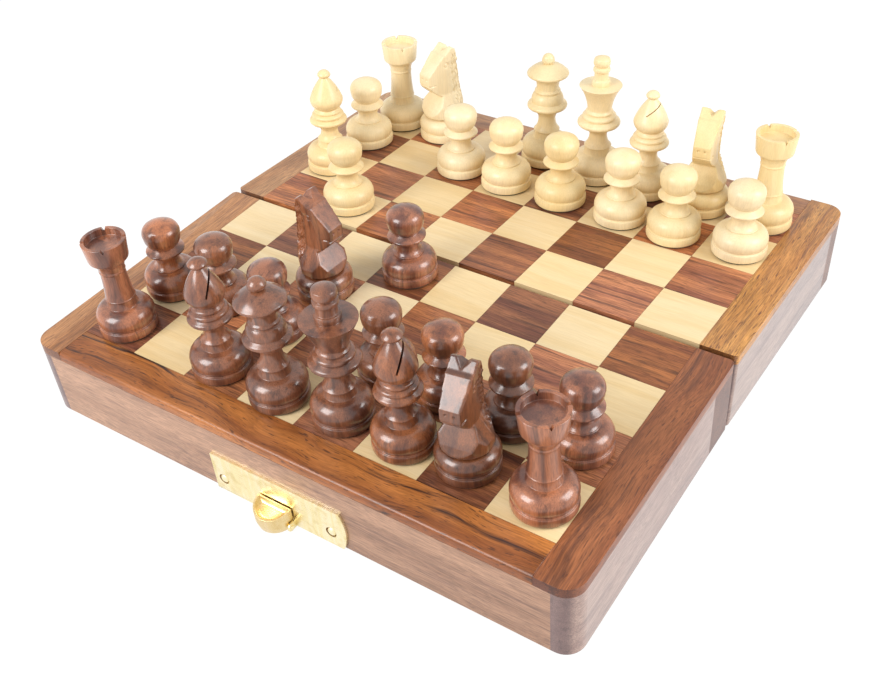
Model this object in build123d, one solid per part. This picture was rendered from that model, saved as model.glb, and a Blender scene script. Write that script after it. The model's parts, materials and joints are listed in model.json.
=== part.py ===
"""Folding magnetic travel chess set.

Two shallow wooden trays are hinged along the fold.  Their outer faces carry the squares, so
the open trays make the board and the shut trays make the box that holds the pieces.

Laid open, the hinge barrels prop up the fold and each tray leans down to its outer rim.  Each
tray is built flat in its own frame: X along the fold, Y from the hinge axis outwards, Z up
from the hinge axis.  It is then leaned and set down on the table plane, Z = 0.
"""
import os
from math import asin, atan2, cos, degrees, hypot, radians, sin

from build123d import *

# ---- board ------------------------------------------------------------------------------
columns = 8
rows = 4                    # rows of squares on each tray
square = 19.4               # pitch of the squares
glue_line = 0.1             # joint between neighbouring squares
border = 11.0               # width of the border strips
board_top = 25.0            # playing surface above the hinge axis
squares_thick = 2.5
steel_thick = 0.5           # sheet under the squares that the magnets grip
steel_inset = 0.8           # the sheet stops short of the edges of the squares
panel_thick = 3.0
panel_rebate = 3.0          # how far the panel reaches into the rails
felt_thick = 0.8
fit_gap = 0.1               # clearance round let-in pieces

# ---- trays ------------------------------------------------------------------------------
side_rail = 6.5             # rails that run from the fold outwards
hinge_rail = 12.5
outer_rail = 11.5
fold_gap = 0.15             # from the hinge axis to the fold face of each tray
rim_gap = 0.15              # from the hinge axis to the rim, so shut rims stay clear
corner_round = 5.5          # outer corners, seen from above
fold_round = 1.5            # corners at the fold, seen from above
top_round = 1.1             # eased top edge
rim_round = 0.5             # eased rim

# ---- hinges -----------------------------------------------------------------------------
hinge_centre = 50.0         # from the middle of the fold to the middle of each hinge
hinge_length = 22.0
knuckles = 5
knuckle_gap = 0.15
barrel_radius = 2.5
pin_radius = 1.0
leaf_reach = 9.0            # from the hinge axis to the far edge of a leaf
leaf_thick = 0.9
running_gap = 0.05          # round a pin in its bore
barrel_gap = 0.4            # round the barrel in the rails
screw_pitch = 13.0
screw_head_radius = 1.6
screw_radius = 0.8
screw_length = 7.0

# ---- latch ------------------------------------------------------------------------------
brass_thick = 0.8
plate_length = 43.6
plate_height = 13.4
plate_end_bulge = 1.6       # rounded end of the plate
plate_lift = 0.3            # lower edge of a plate above the rim
nail_inset = 3.4
nail_height = 5.1
nail_head_radius = 1.3
nail_head_rise = 0.6
nail_radius = 0.6
nail_length = 6.0
latch_pin_radius = 0.6
latch_pin_reach = 2.6       # from the wooden face to the pin
latch_pin_height = 1.7      # above the rim
latch_pin_proud = 0.5       # each end outside the tab
ear_centre = 3.1
ear_radius = 1.2
tab_radius = 5.6
tab_wall = 0.7
tab_centre_reach = 1.6      # from the wooden face to the centre of the round
tab_back_reach = 1.2
tab_bottom = 0.5            # above the rim
tab_taper = 0.5             # the wall draws in towards its lower edge
tab_height = 6.9            # back of the tab above the rim
tab_fall = 1.3              # the lip is this much lower than the back
dish_back_depth = 0.7       # thumb dish below the rim of the tab, at the back
dish_lip_depth = 1.4        # and at the lip
knuckle_clear = 1.4         # round of the tab about its pin
strike_length = 30.0
strike_height = 9.0
catch_width = 3.0
catch_reach = 2.4           # from the wooden face to the tip of the catch
catch_thick = 0.6
catch_height = 0.65         # middle of the catch above the rim

# ---- pieces -----------------------------------------------------------------------------
pad_thick = 0.6             # felt under each piece
pad_inset = 0.5
magnet_radius = 4.0
magnet_thick = 3.0
magnet_gap = 0.05
plinth = 2.5                # height of the disc at the foot
plinth_bow = 0.15
groove = 0.45               # depth and width of the line above it
groove_lip = 0.1
foot_lip = 0.3              # from the line to the swelling
foot_radius = 8.3
pawn_foot_radius = 8.2
crenels = 4
crenel_width = 1.1
crenel_depth = 1.2
crown_rim = 1.1             # wall round the hollow top of a rook
crown_depth = 2.2
slit_width = 0.8            # cut in a bishop's mitre
slit_tilt = 40
slit_reach = 3.2            # from the axis to the middle of the cut
slit_fall = 6.6             # from the top of the bishop to the middle of the cut
ear_notch = 3.6             # depth and width of the gap between a knight's ears
# The two sides are turned to slightly different heights, and the dark finials are wider.
heights = {
    "dark": {"pawn": 24.0, "rook": 31.0, "knight": 35.2, "bishop": 37.3, "queen": 39.6,
             "king": 43.0},
    "light": {"pawn": 24.0, "rook": 31.0, "knight": 35.2, "bishop": 35.4, "queen": 38.5,
              "king": 42.5}}
finial_spread = {"dark": 1.25, "light": 1.0}
cup_radius = {"dark": 7.5, "light": 6.9}

# Outlines of the turned pieces from the top of the foot upwards, as (radius, rise, bulge):
# where a run ends and how far it bows outwards.  The rises are stretched to the height above.
pawn_outline = [
    (4.6, 4.7, 1.6), (4.4, 0.5, 0.2), (3.4, 2.2, -0.3), (5.3, 2.6, -0.4), (5.4, 0.9, 0.35),
    (3.9, 1.1, 0), (5.45, 3.5, 0.4), (4.6, 3.1, 0.45)]
rook_outline = [
    (4.5, 5.0, 1.8), (4.1, 2.4, -0.1), (4.2, 0.5, 0.2), (3.6, 8.6, -0.15), (3.8, 0.4, 0),
    (3.6, 0.5, 0), (3.9, 1.2, 0), (5.6, 2.3, -0.3), (5.75, 0.6, 0), (6.3, 5.55, 0)]
bishop_outline = [
    (4.4, 4.7, 1.8), (4.0, 2.1, -0.1), (4.1, 0.4, 0.15), (2.9, 2.4, -0.3), (3.2, 1.6, -0.2),
    (5.7, 2.0, -0.3), (5.8, 1.4, 0.5), (5.0, 0.5, 0), (4.9, 1.3, 0.4), (4.2, 0.3, 0),
    (4.2, 0.9, 0.3), (3.8, 0.7, 0), (5.5, 3.2, 0.5), (1.4, 7.2, 0.4)]
bishop_finial = [(1.3, 0.3, 0), (2.15, 1.0, 0.3)]
queen_outline = [
    (4.5, 5.2, 1.8), (4.1, 2.4, -0.1), (4.2, 0.5, 0.2), (2.9, 3.2, -0.3), (3.3, 2.3, -0.2),
    (6.1, 2.3, -0.3), (6.2, 1.5, 0.5), (5.3, 0.6, 0), (4.5, 3.0, 0.35), (4.0, 0.3, 0),
    (4.1, 0.9, 0.25), (3.7, 0.3, 0), (3.9, 3.1, -0.2), (6.5, 1.8, -0.3), (6.5, 0.9, 0.4),
    (1.4, 2.9, 0.3)]
queen_finial = [(2.0, 1.6, 0.35)]
king_outline = [
    (4.5, 5.4, 1.8), (4.2, 2.2, -0.1), (4.3, 0.5, 0.2), (2.9, 3.1, -0.3), (3.3, 1.9, -0.2),
    (6.4, 2.1, -0.3), (6.5, 1.6, 0.5), (5.2, 0.6, 0), (5.1, 1.4, 0.4), (4.2, 0.4, 0),
    (4.2, 1.0, 0.3), (3.9, 0.5, 0)]
king_cup = (8.0, -0.6)      # rise and bulge of the cup
king_finial = [
    (2.7, 0, 0), (2.7, 2.0, 0.2), (2.25, 0.1, 0), (2.25, 2.3, 0), (2.6, 0.3, 0), (2.6, 1.1, 0.1),
    (2.0, 0.4, 0), (2.5, 0.5, 0), (2.4, 2.2, 0.25)]
knight_foot = [(5.4, 4.2, 1.5), (5.4, 0.5, 0)]
caps = {"pawn": 1.45, "bishop": 1.45, "queen": 1.75, "king": 0.65}    # height of the ball on top

# Outlines of a knight's carving above its foot; it looks along -Y.
knight_side = [             # (along Y, height)
    (-6.0, 0), (-7.2, 5.0), (-2.2, 10.2), (-4.4, 10.6), (-6.5, 11.7), (-7.3, 15.3),
    (-3.2, 22.9), (-1.5, 26.5), (0.5, 24.4), (2.1, 23.4), (4.7, 16.7), (5.7, 9.6), (6.8, 4.6),
    (5.9, 0)]
knight_front = [(5.7, 0), (6.0, 4.6), (3.4, 10.3), (3.0, 14.0), (3.1, 26.5)]  # (half width, height)
knight_chest = [(1.9, -7.3), (6.0, -0.8), (6.0, 3.0), (3.4, 6.9)]  # (half width, along Y)
knight_head = [(2.2, -7.4), (3.1, -1.5), (3.1, 3.0), (1.9, 5.9)]
knight_chin = 10.2          # height where the head plan takes over from the chest plan
waist_radius = 5.9          # the carving is rounded off where it meets its foot
waist_rise = 4.6
waist_flare = 2.2

# ---- values that follow -----------------------------------------------------------------
play_half = columns * square / 2
half_width = play_half + border
play_end = fold_gap + rows * square
outer_face = play_end + border
strip_bottom = board_top - squares_thick - steel_thick
panel_bottom = strip_bottom - panel_thick
inner_x = half_width - side_rail
inner_near = fold_gap + hinge_rail
inner_far = outer_face - outer_rail
tab_reach = tab_centre_reach + tab_radius

# A leaning tray touches the table at its barrels and at the eased edge of its outer rim.
_far = outer_face - rim_round
_up = rim_gap + rim_round
lean = degrees(asin((barrel_radius - rim_round) / hypot(_far, _up)) + atan2(_up, _far))
# The fold stands off the origin so that the origin is the middle of the footprint.
fold_y = (tab_reach - catch_reach) * cos(radians(lean)) / 2
rear_place = Pos(0, fold_y, barrel_radius) * Rot(-lean, 0, 0)
front_place = Pos(0, fold_y, barrel_radius) * Rot(0, 0, 180) * Rot(-lean, 0, 0)


def block(x0, x1, y0, y1, z0, z1):
    """A box given by its limits."""
    centre = Pos((x0 + x1) / 2, (y0 + y1) / 2, (z0 + z1) / 2)
    return centre * Box(x1 - x0, y1 - y0, z1 - z0)


def rod_x(radius, x0, x1, y, z):
    """A cylinder along X."""
    return Pos((x0 + x1) / 2, y, z) * Rot(0, 90, 0) * Cylinder(radius, x1 - x0)


# ---- tray woodwork ----------------------------------------------------------------------
def tray_envelope():
    """The outside of a tray, with its rounded corners and eased edges."""
    depth = outer_face - fold_gap
    middle = Pos(0, (fold_gap + outer_face) / 2, rim_gap)
    plan = Rectangle(2 * half_width, depth)
    far_corners = plan.vertices().sort_by(Axis.Y)[-2:]
    plan = fillet(far_corners, corner_round)
    body = extrude(plan, board_top - rim_gap)
    sides = body.edges().filter_by(lambda e: e.center().Y > 1 - depth / 2)
    body = fillet(sides.group_by(Axis.Z)[-1], top_round)
    sides = body.edges().filter_by(lambda e: e.center().Y > 1 - depth / 2)
    body = fillet(sides.group_by(Axis.Z)[0], rim_round)
    fold_plan = fillet(Rectangle(2 * half_width, depth).vertices().sort_by(Axis.Y)[:2], fold_round)
    return middle * (body & extrude(fold_plan, board_top - rim_gap))


def rails(envelope, full_hinge_rail):
    """Hinge, outer and side rails; the full-length one laps the ends of the side rails."""
    hinge_half = half_width if full_hinge_rail else inner_x
    outer_half = inner_x if full_hinge_rail else half_width
    side_from = inner_near if full_hinge_rail else fold_gap
    side_to = outer_face if full_hinge_rail else inner_far
    pocket = block(-inner_x - panel_rebate, inner_x + panel_rebate, inner_near - panel_rebate,
                   inner_far + panel_rebate, panel_bottom, strip_bottom)
    frame = envelope - pocket
    hinge = frame & block(-hinge_half, hinge_half, fold_gap, inner_near, rim_gap, strip_bottom)
    outer = frame & block(-outer_half, outer_half, inner_far, outer_face, rim_gap, strip_bottom)
    right = frame & block(inner_x, half_width, side_from, side_to, rim_gap, strip_bottom)
    left = frame & block(-half_width, -inner_x, side_from, side_to, rim_gap, strip_bottom)
    return hinge, outer, [left, right]


def base_panel():
    """Plywood panel let into the rails."""
    edge = panel_rebate - fit_gap
    return block(-inner_x - edge, inner_x + edge, inner_near - edge, inner_far + edge,
                 panel_bottom, strip_bottom)


def felt_lining():
    """Felt on the floor of the tray."""
    return block(-inner_x + fit_gap, inner_x - fit_gap, inner_near + fit_gap,
                 inner_far - fit_gap, panel_bottom - felt_thick, panel_bottom)


def steel_sheet():
    return block(-play_half + steel_inset, play_half - steel_inset, fold_gap + steel_inset,
                 play_end - steel_inset, strip_bottom, strip_bottom + steel_thick)


def border_strips(envelope):
    """Two side strips run to the outer corners and the end strip butts between them."""
    left = block(-half_width, -play_half, fold_gap, outer_face, strip_bottom, board_top)
    right = block(play_half, half_width, fold_gap, outer_face, strip_bottom, board_top)
    end = block(-play_half, play_half, play_end, outer_face, strip_bottom, board_top)
    return [envelope & strip for strip in (left, right, end)]


def squares(dark):
    """Every other square of a tray, resting on the steel."""
    side = square - glue_line
    tile = Box(side, side, squares_thick)
    height = board_top - squares_thick / 2
    return [Pos((column + 0.5) * square - play_half, fold_gap + (row + 0.5) * square, height) * tile
            for column in range(columns) for row in range(rows)
            if ((column + row) % 2 == 0) == dark]


# ---- hinges -----------------------------------------------------------------------------
def knuckle_spans(first):
    """Limits along X of every other knuckle of a hinge that is centred on X = 0."""
    pitch = hinge_length / knuckles
    starts = [-hinge_length / 2 + index * pitch for index in range(first, knuckles, 2)]
    return [(start + knuckle_gap / 2, start + pitch - knuckle_gap / 2) for start in starts]


def hinge_leaf(first):
    """A leaf let into the rim, with its share of the knuckles round the pin."""
    root = barrel_radius + barrel_gap
    half = hinge_length / 2
    leaf = block(-half, half, root, leaf_reach, rim_gap, rim_gap + leaf_thick)
    for x0, x1 in knuckle_spans(first):
        leaf += block(x0, x1, 0, root, rim_gap, rim_gap + leaf_thick)
        leaf += rod_x(barrel_radius, x0, x1, 0, 0)
    leaf -= rod_x(pin_radius + running_gap, -half, half, 0, 0)
    for x in screw_places():
        leaf -= Pos(x, leaf_screw_y(), 0) * screw(running_gap)
    return leaf


def leaf_screw_y():
    return (barrel_radius + barrel_gap + leaf_reach) / 2


def screw_places():
    return (-screw_pitch / 2, screw_pitch / 2)


def screw(extra=0.0):
    """A countersunk screw pointing up from the face of the leaf; extra widens its hole."""
    head_depth = screw_head_radius - screw_radius
    head = Pos(0, 0, rim_gap + head_depth / 2) * Cone(
        screw_head_radius + extra, screw_radius + extra, head_depth)
    shank_from = rim_gap + head_depth
    shank = Pos(0, 0, (shank_from + screw_length) / 2) * Cylinder(
        screw_radius + extra, screw_length - shank_from)
    return head + shank


def hinge_seat():
    """What a hinge takes out of the rail that it is let into."""
    half = hinge_length / 2 + fit_gap
    seat = block(-half, half, 0, leaf_reach + fit_gap, 0, rim_gap + leaf_thick + fit_gap)
    seat += rod_x(barrel_radius + barrel_gap, -half - fit_gap, half + fit_gap, 0, 0)
    for x in screw_places():
        seat += Pos(x, leaf_screw_y(), 0) * screw(running_gap)
    return seat


def at_hinges(solid):
    """The same solid at both hinges."""
    return [Pos(x, 0, 0) * solid for x in (-hinge_centre, hinge_centre)]


# ---- latch ------------------------------------------------------------------------------
# Seen from outside: X to the right, Y up from the rim, Z out of the wooden face.
face_plane = Plane(origin=(0, outer_face, rim_gap), x_dir=(-1, 0, 0), z_dir=(0, 1, 0))


def nail(extra=0.0):
    """A round-headed nail through a plate, in the frame of the outer face."""
    shank = Pos(0, 0, brass_thick - nail_length / 2) * Cylinder(nail_radius + extra, nail_length)
    dome_radius = (nail_head_radius**2 + nail_head_rise**2) / (2 * nail_head_rise)
    dome = Pos(0, 0, brass_thick + nail_head_rise - dome_radius) * Sphere(dome_radius)
    cap = dome & Pos(0, 0, brass_thick + nail_head_rise / 2) * Cylinder(
        nail_head_radius, nail_head_rise)
    return shank if extra else shank + cap


def latch_nail_places():
    x = plate_length / 2 - nail_inset
    return [(-x, nail_height), (x, nail_height)]


def strike_nail_places():
    x = strike_length / 2 - nail_inset
    return [(-x, nail_height), (x, nail_height)]


def drilled(solid, places):
    for x, y in places:
        solid -= Pos(x, y, 0) * nail(running_gap)
    return solid


def latch_plate():
    """Plate with one square and one rounded end, and two ears that carry the pin."""
    half = plate_length / 2
    outline = Polyline((half, plate_lift), (-half, plate_lift), (-half, plate_height),
                       (half, plate_height))
    end = ThreePointArc((half, plate_height), (half + plate_end_bulge, plate_height / 2),
                        (half, plate_lift))
    plate = extrude(make_face([*outline.edges(), end]), brass_thick)
    ear = block(-brass_thick / 2, brass_thick / 2, latch_pin_height - ear_radius,
                latch_pin_height + ear_radius, 0, latch_pin_reach)
    ear += rod_x(ear_radius, -brass_thick / 2, brass_thick / 2, latch_pin_height, latch_pin_reach)
    plate += [Pos(x, 0, 0) * ear for x in (-ear_centre, ear_centre)]
    plate -= latch_pin(running_gap)
    return drilled(plate, latch_nail_places())


def latch_pin(extra=0.0):
    half = tab_radius + latch_pin_proud
    return rod_x(latch_pin_radius + extra, -half, half, latch_pin_height, latch_pin_reach)


def below_plane(back, lip):
    """The space under a slope from a height at the back of the tab to one at its lip."""
    wide = 2 * tab_radius
    far = tab_centre_reach + tab_radius
    run = far - tab_back_reach
    slope = (lip - back) / run
    start, stop = tab_back_reach - run, far + run
    profile = Polyline((0, start), (back - slope * run, start), (lip + slope * run, stop),
                       (0, stop), close=True)
    side = Plane(origin=(0, 0, 0), x_dir=(0, 1, 0), z_dir=(1, 0, 0))
    return extrude(side * make_face(profile.edges()), wide, both=True)


def latch_tab():
    """Cupped thumb tab that turns on the pin; its round wall is the hook."""
    top = tab_height
    lower = tab_radius - tab_taper
    shoulder = latch_pin_height + 1.0
    wall = Polyline((lower, tab_bottom), (tab_radius, shoulder), (tab_radius, top),
                    (tab_radius - tab_wall, top), (tab_radius - tab_wall, shoulder),
                    (lower - tab_wall, tab_bottom), close=True)
    section = make_face(wall.edges())
    cup = revolve(section, Axis.Y, 180)
    if cup.center().Z < 0:
        cup = Rot(0, 180, 0) * cup
    cheek = Pos(0, 0, tab_back_reach - tab_centre_reach) * extrude(
        section, tab_centre_reach - tab_back_reach)
    cup = cup + cheek + mirror(cheek, Plane.YZ)
    plan = Cylinder(tab_radius - tab_wall / 2, top, align=(Align.CENTER, Align.CENTER, Align.MIN))
    plan = Rot(-90, 0, 0) * plan & block(-tab_radius, tab_radius, 0, top, 0, 2 * tab_radius)
    plan += block(-tab_radius + tab_wall / 2, tab_radius - tab_wall / 2, 0, top,
                  tab_back_reach - tab_centre_reach, 0)
    cup = Pos(0, 0, tab_centre_reach) * cup
    plan = Pos(0, 0, tab_centre_reach) * plan
    back, lip = tab_height, tab_height - tab_fall
    dish = plan & below_plane(back - dish_back_depth, lip - dish_lip_depth)
    dish -= below_plane(back - dish_back_depth - tab_wall, lip - dish_lip_depth - tab_wall)
    tab = (cup & below_plane(back, lip)) + dish
    corner = block(-2 * tab_radius, 2 * tab_radius, 0, latch_pin_height, 0, latch_pin_reach)
    corner -= rod_x(knuckle_clear, -2 * tab_radius, 2 * tab_radius, latch_pin_height,
                    latch_pin_reach)
    return tab - corner - latch_pin(running_gap)


def strike_plate():
    """Plate with rounded ends and a bent-out catch for the tab."""
    half = strike_length / 2
    corner = strike_height / 4
    outline = Pos(0, (strike_height + plate_lift) / 2) * RectangleRounded(
        2 * half, strike_height - plate_lift, corner)
    plate = extrude(outline, brass_thick)
    plate += block(-catch_width / 2, catch_width / 2, catch_height - catch_thick / 2,
                   catch_height + catch_thick / 2, 0, catch_reach)
    return drilled(plate, strike_nail_places())


def on_face(solid):
    """From the frame of the outer face to the frame of its tray."""
    return face_plane.location * solid


# ---- turned pieces ----------------------------------------------------------------------
def turned(steps, cap=0.0):
    """Revolve an outline that climbs from the felt pad, and give the height it reaches.

    The top is a part of a ball, cap high, or flat.
    """
    radius, height = 0, pad_thick
    edges = []
    for end_radius, rise, bulge in steps:
        here, there = (radius, height), (end_radius, height + rise)
        edges.append(SagittaArc(here, there, -bulge) if bulge else Line(here, there))
        radius, height = there
    top = height + cap
    if cap:
        ball = (radius**2 + cap**2) / (2 * cap)
        middle = (90 + degrees(asin((ball - cap) / ball))) / 2
        over = (ball * cos(radians(middle)), top - ball + ball * sin(radians(middle)))
        edges.append(ThreePointArc((radius, height), over, (0, top)))
    else:
        edges.append(Line((radius, height), (0, top)))
    edges.append(Line((0, top), (0, pad_thick)))
    return revolve(Plane.XZ * make_face(edges), Axis.Z), top


def foot(radius):
    """Plinth, line and lip that every piece stands on."""
    return [(radius, 0, 0), (radius, plinth, plinth_bow), (radius - groove, groove_lip, 0),
            (radius - groove, groove, 0), (radius - groove / 2, foot_lip, 0)]


def stretched(steps, run):
    """The same outline with its rises stretched to a run."""
    share = run / sum(rise for _, rise, _ in steps)
    return [(radius, rise * share, bulge) for radius, rise, bulge in steps]


def widened(steps, spread):
    return [(radius * spread, rise, bulge) for radius, rise, bulge in steps]


def above_foot(colour, kind):
    """Height of a piece above its foot and below its cap."""
    foot_top = pad_thick + plinth + groove_lip + groove + foot_lip
    return heights[colour][kind] - foot_top - caps.get(kind, 0)


def weighted(body, radius):
    """Piece with its magnet and felt pad: the body is bored from below."""
    bore = Pos(0, 0, pad_thick) * Cylinder(
        magnet_radius + magnet_gap, magnet_thick + magnet_gap,
        align=(Align.CENTER, Align.CENTER, Align.MIN))
    magnet = Pos(0, 0, pad_thick) * Cylinder(
        magnet_radius, magnet_thick, align=(Align.CENTER, Align.CENTER, Align.MIN))
    pad = Cylinder(radius - pad_inset, pad_thick, align=(Align.CENTER, Align.CENTER, Align.MIN))
    return [body - bore, magnet, pad]


def pawn(colour):
    steps = foot(pawn_foot_radius) + stretched(pawn_outline, above_foot(colour, "pawn"))
    body, _ = turned(steps, caps["pawn"])
    return weighted(body, pawn_foot_radius)


def rook(colour):
    """Tower with a hollow top and nicks in its rim."""
    steps = foot(foot_radius) + stretched(rook_outline, above_foot(colour, "rook"))
    inner = steps[-1][0] - crown_rim
    body, floor = turned(steps + [(inner, 0, 0), (inner, -crown_depth, 0)])
    nick_plan = Polyline((-crenel_width / 2, 0), (crenel_width / 2, 0), (0, -crenel_depth),
                         close=True)
    nick_plane = Plane(origin=(0, 0, floor + crown_depth), x_dir=(0, 1, 0), z_dir=(1, 0, 0))
    nick = extrude(nick_plane * make_face(nick_plan.edges()), foot_radius)
    for index in range(crenels):
        body -= Rot(0, 0, (index + 0.5) * 360 / crenels) * nick
    return weighted(body, foot_radius)


def bishop(colour):
    """Mitre with a slanting slit that opens towards -X."""
    spread = finial_spread[colour]
    steps = stretched(bishop_outline + widened(bishop_finial, spread),
                      above_foot(colour, "bishop"))
    body, top = turned(foot(foot_radius) + steps, caps["bishop"])
    cut = Pos(-slit_reach, 0, top - slit_fall) * Rot(0, slit_tilt, 0) * Box(
        foot_radius, 2 * foot_radius, slit_width)
    return weighted(body - cut, foot_radius)


def queen(colour):
    spread = finial_spread[colour]
    steps = stretched(queen_outline + widened(queen_finial, spread),
                      above_foot(colour, "queen"))
    body, _ = turned(foot(foot_radius) + steps, caps["queen"])
    return weighted(body, foot_radius)


def king(colour):
    rise, bulge = king_cup
    cup = [(cup_radius[colour], rise, bulge)]
    finial = widened(king_finial, finial_spread[colour])
    steps = stretched(king_outline + cup + finial, above_foot(colour, "king"))
    body, _ = turned(foot(foot_radius) + steps, caps["king"])
    return weighted(body, foot_radius)


def mirrored(half):
    """Face of an outline that is given on its right half, from one end to the other."""
    other = [(-across, along) for across, along in reversed(half) if across]
    return make_face(Polyline(*half, *other, close=True).edges())


def knight(colour):
    """Carved head and chest on a turned foot."""
    body, seat = turned(foot(foot_radius) + knight_foot)
    top = heights[colour]["knight"]
    share = (top - seat) / max(height for _, height in knight_side)
    reach = 2 * foot_radius
    side = [(along, seat + share * height) for along, height in knight_side]
    front = [(across, seat + share * height) for across, height in knight_front]
    side_plane = Plane(origin=(0, 0, 0), x_dir=(0, 1, 0), z_dir=(1, 0, 0))
    carving = extrude(side_plane * make_face(Polyline(*side, close=True).edges()), reach,
                      both=True)
    carving &= extrude(Plane.XZ * mirrored(front), reach, both=True)
    chin = seat + share * knight_chin
    plan = Pos(0, 0, seat) * extrude(mirrored(knight_chest), chin - seat)
    plan += Pos(0, 0, chin) * extrude(mirrored(knight_head), top - chin)
    waist = Pos(0, 0, seat + waist_rise / 2) * Cone(
        waist_radius, waist_radius + waist_flare, waist_rise)
    waist += Pos(0, 0, (seat + waist_rise + top) / 2) * Cylinder(reach, top - seat - waist_rise)
    notch = [(ear_notch / 2, top), (0, top - ear_notch)]
    carving = (carving & plan & waist) - extrude(Plane.XZ * mirrored(notch), reach, both=True)
    return weighted(body + carving, foot_radius)


# ---- how the pieces stand ---------------------------------------------------------------
# Column from the left, row from the front, then how far the piece stands to the right of and
# behind the middle of its square.
dark_side = {
    "rook_left": (0, 0, 0.1, -1.7), "rook_right": (7, 0, 1.5, -0.5),
    "knight_left": (2, 2, 1.6, 1.1), "knight_right": (6, 0, -1.2, 0.9),
    "bishop_left": (2, 0, -2.1, -1.8), "bishop_right": (5, 0, 0.2, -0.8),
    "queen": (3, 0, -0.2, -2.8), "king": (4, 0, 0.5, -0.8),
    "pawn_1": (0, 1, -1.0, -0.8), "pawn_2": (1, 1, -1.5, 1.0), "pawn_3": (2, 1, 1.1, -1.3),
    "pawn_4": (3, 3, 0, 0), "pawn_5": (4, 1, 0.3, -0.3), "pawn_6": (5, 1, -0.2, 0),
    "pawn_7": (6, 1, 0.7, -0.6), "pawn_8": (7, 1, 0.4, 0.4)}
light_side = {
    "rook_left": (0, 7, 0, 0), "rook_right": (7, 7, 1.7, -0.4),
    "knight_left": (1, 7, -1.1, -0.8), "knight_right": (6, 7, 0.7, -1.7),
    "bishop_left": (0, 5, -2.6, -0.3), "bishop_right": (5, 7, 0.3, -0.7),
    "queen": (3, 7, 0.5, 1.8), "king": (4, 7, 1.3, 0),
    "pawn_1": (0, 6, -2.3, 1.5), "pawn_2": (1, 4, -0.7, 0.7), "pawn_3": (2, 6, -1.2, 0.2),
    "pawn_4": (3, 6, -2.3, -0.7), "pawn_5": (4, 6, -1.2, -1.0), "pawn_6": (5, 6, 0.8, -1.0),
    "pawn_7": (6, 6, 0, -1.8), "pawn_8": (7, 6, 1.2, 0)}
# How far the knights and bishops are turned, in degrees about Z.
turns = {
    "dark_knight_left": 105, "dark_knight_right": 20, "light_knight_left": -60,
    "light_knight_right": 20, "dark_bishop_left": 35, "dark_bishop_right": -160,
    "light_bishop_left": -55, "light_bishop_right": -145}


def standing_point(column, row, right, back):
    """Foot of a piece in the frame of the tray that holds it, and whether that is the rear one."""
    on_rear = row >= rows
    out = 1 if on_rear else -1
    x = (column + 0.5) * square - play_half + right
    y = (row - rows + 0.5) * square + back
    return (out * x, fold_gap + out * y, board_top), on_rear


def stand(solids, where, turn):
    """Place a piece on its square, on whichever tray holds it."""
    point, on_rear = standing_point(*where)
    place = rear_place if on_rear else front_place
    half_turn = 0 if on_rear else 180
    return [place * Pos(*point) * Rot(0, 0, turn + half_turn) * solid for solid in solids]


def chess_pieces():
    makers = {"rook": rook, "knight": knight, "bishop": bishop, "queen": queen, "king": king,
              "pawn": pawn}
    nodes = {}
    for colour, side in (("dark", dark_side), ("light", light_side)):
        made = {kind: maker(colour) for kind, maker in makers.items()}
        for name, where in side.items():
            node = f"{colour}_{name}"
            nodes[node] = stand(made[name.split("_")[0]], where, turns.get(node, 0))
    return nodes


def tray_nodes():
    """Nodes of one tray in its own frame, without its hinges and latch."""
    envelope = tray_envelope()
    nodes = {}
    for where, full_hinge_rail in (("front", True), ("rear", False)):
        hinge, outer, sides = rails(envelope, full_hinge_rail)
        for seat in at_hinges(hinge_seat()):
            hinge -= seat
        places = latch_nail_places() if where == "front" else strike_nail_places()
        for x, y in places:
            outer -= on_face(Pos(x, y, 0) * nail(running_gap))
        nodes[f"{where}_outer_rail"] = [outer]
        nodes[f"{where}_hinge_rail"] = [hinge]
        nodes[f"{where}_side_rails"] = sides
        nodes[f"{where}_base_panel"] = [base_panel()]
        nodes[f"{where}_felt_lining"] = [felt_lining()]
        nodes[f"{where}_steel_sheet"] = [steel_sheet()]
        nodes[f"{where}_border_strips"] = border_strips(envelope)
        nodes[f"{where}_dark_squares"] = squares(dark=True)
        nodes[f"{where}_light_squares"] = squares(dark=False)
        screws = [Pos(x, leaf_screw_y(), 0) * screw() for x in screw_places()]
        nodes[f"{where}_hinge_leaves"] = at_hinges(hinge_leaf(0 if where == "front" else 1))
        nodes[f"{where}_hinge_screws"] = [turn for one in screws for turn in at_hinges(one)]
    pin = rod_x(pin_radius, -hinge_length / 2, hinge_length / 2, 0, 0)
    nodes["front_hinge_pins"] = at_hinges(pin)
    nodes["front_latch_plate"] = [on_face(latch_plate()), on_face(latch_pin())]
    nodes["front_latch_tab"] = [on_face(latch_tab())]
    nodes["front_latch_nails"] = [on_face(Pos(x, y, 0) * nail()) for x, y in latch_nail_places()]
    nodes["rear_strike_plate"] = [on_face(strike_plate())]
    nodes["rear_strike_nails"] = [on_face(Pos(x, y, 0) * nail()) for x, y in strike_nail_places()]
    return nodes


def all_nodes():
    nodes = {}
    for name, solids in tray_nodes().items():
        place = front_place if name.startswith("front") else rear_place
        nodes[name] = [place * solid for solid in solids]
    nodes.update(chess_pieces())
    return nodes


def main():
    os.makedirs("parts", exist_ok=True)
    for name, solids in all_nodes().items():
        pieces = [solid for shape in solids for solid in shape.solids()]
        export_step(Compound(pieces), f"parts/{name}.step")


if __name__ == "__main__":
    main()
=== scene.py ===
"""Looks of the folding magnetic travel chess set: woodwork, squares, brass and chess pieces."""
import json
from math import asin, atan2, cos, hypot, pi, radians, sin

import bmesh
import bpy
from mathutils import Euler, Matrix, Vector


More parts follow.
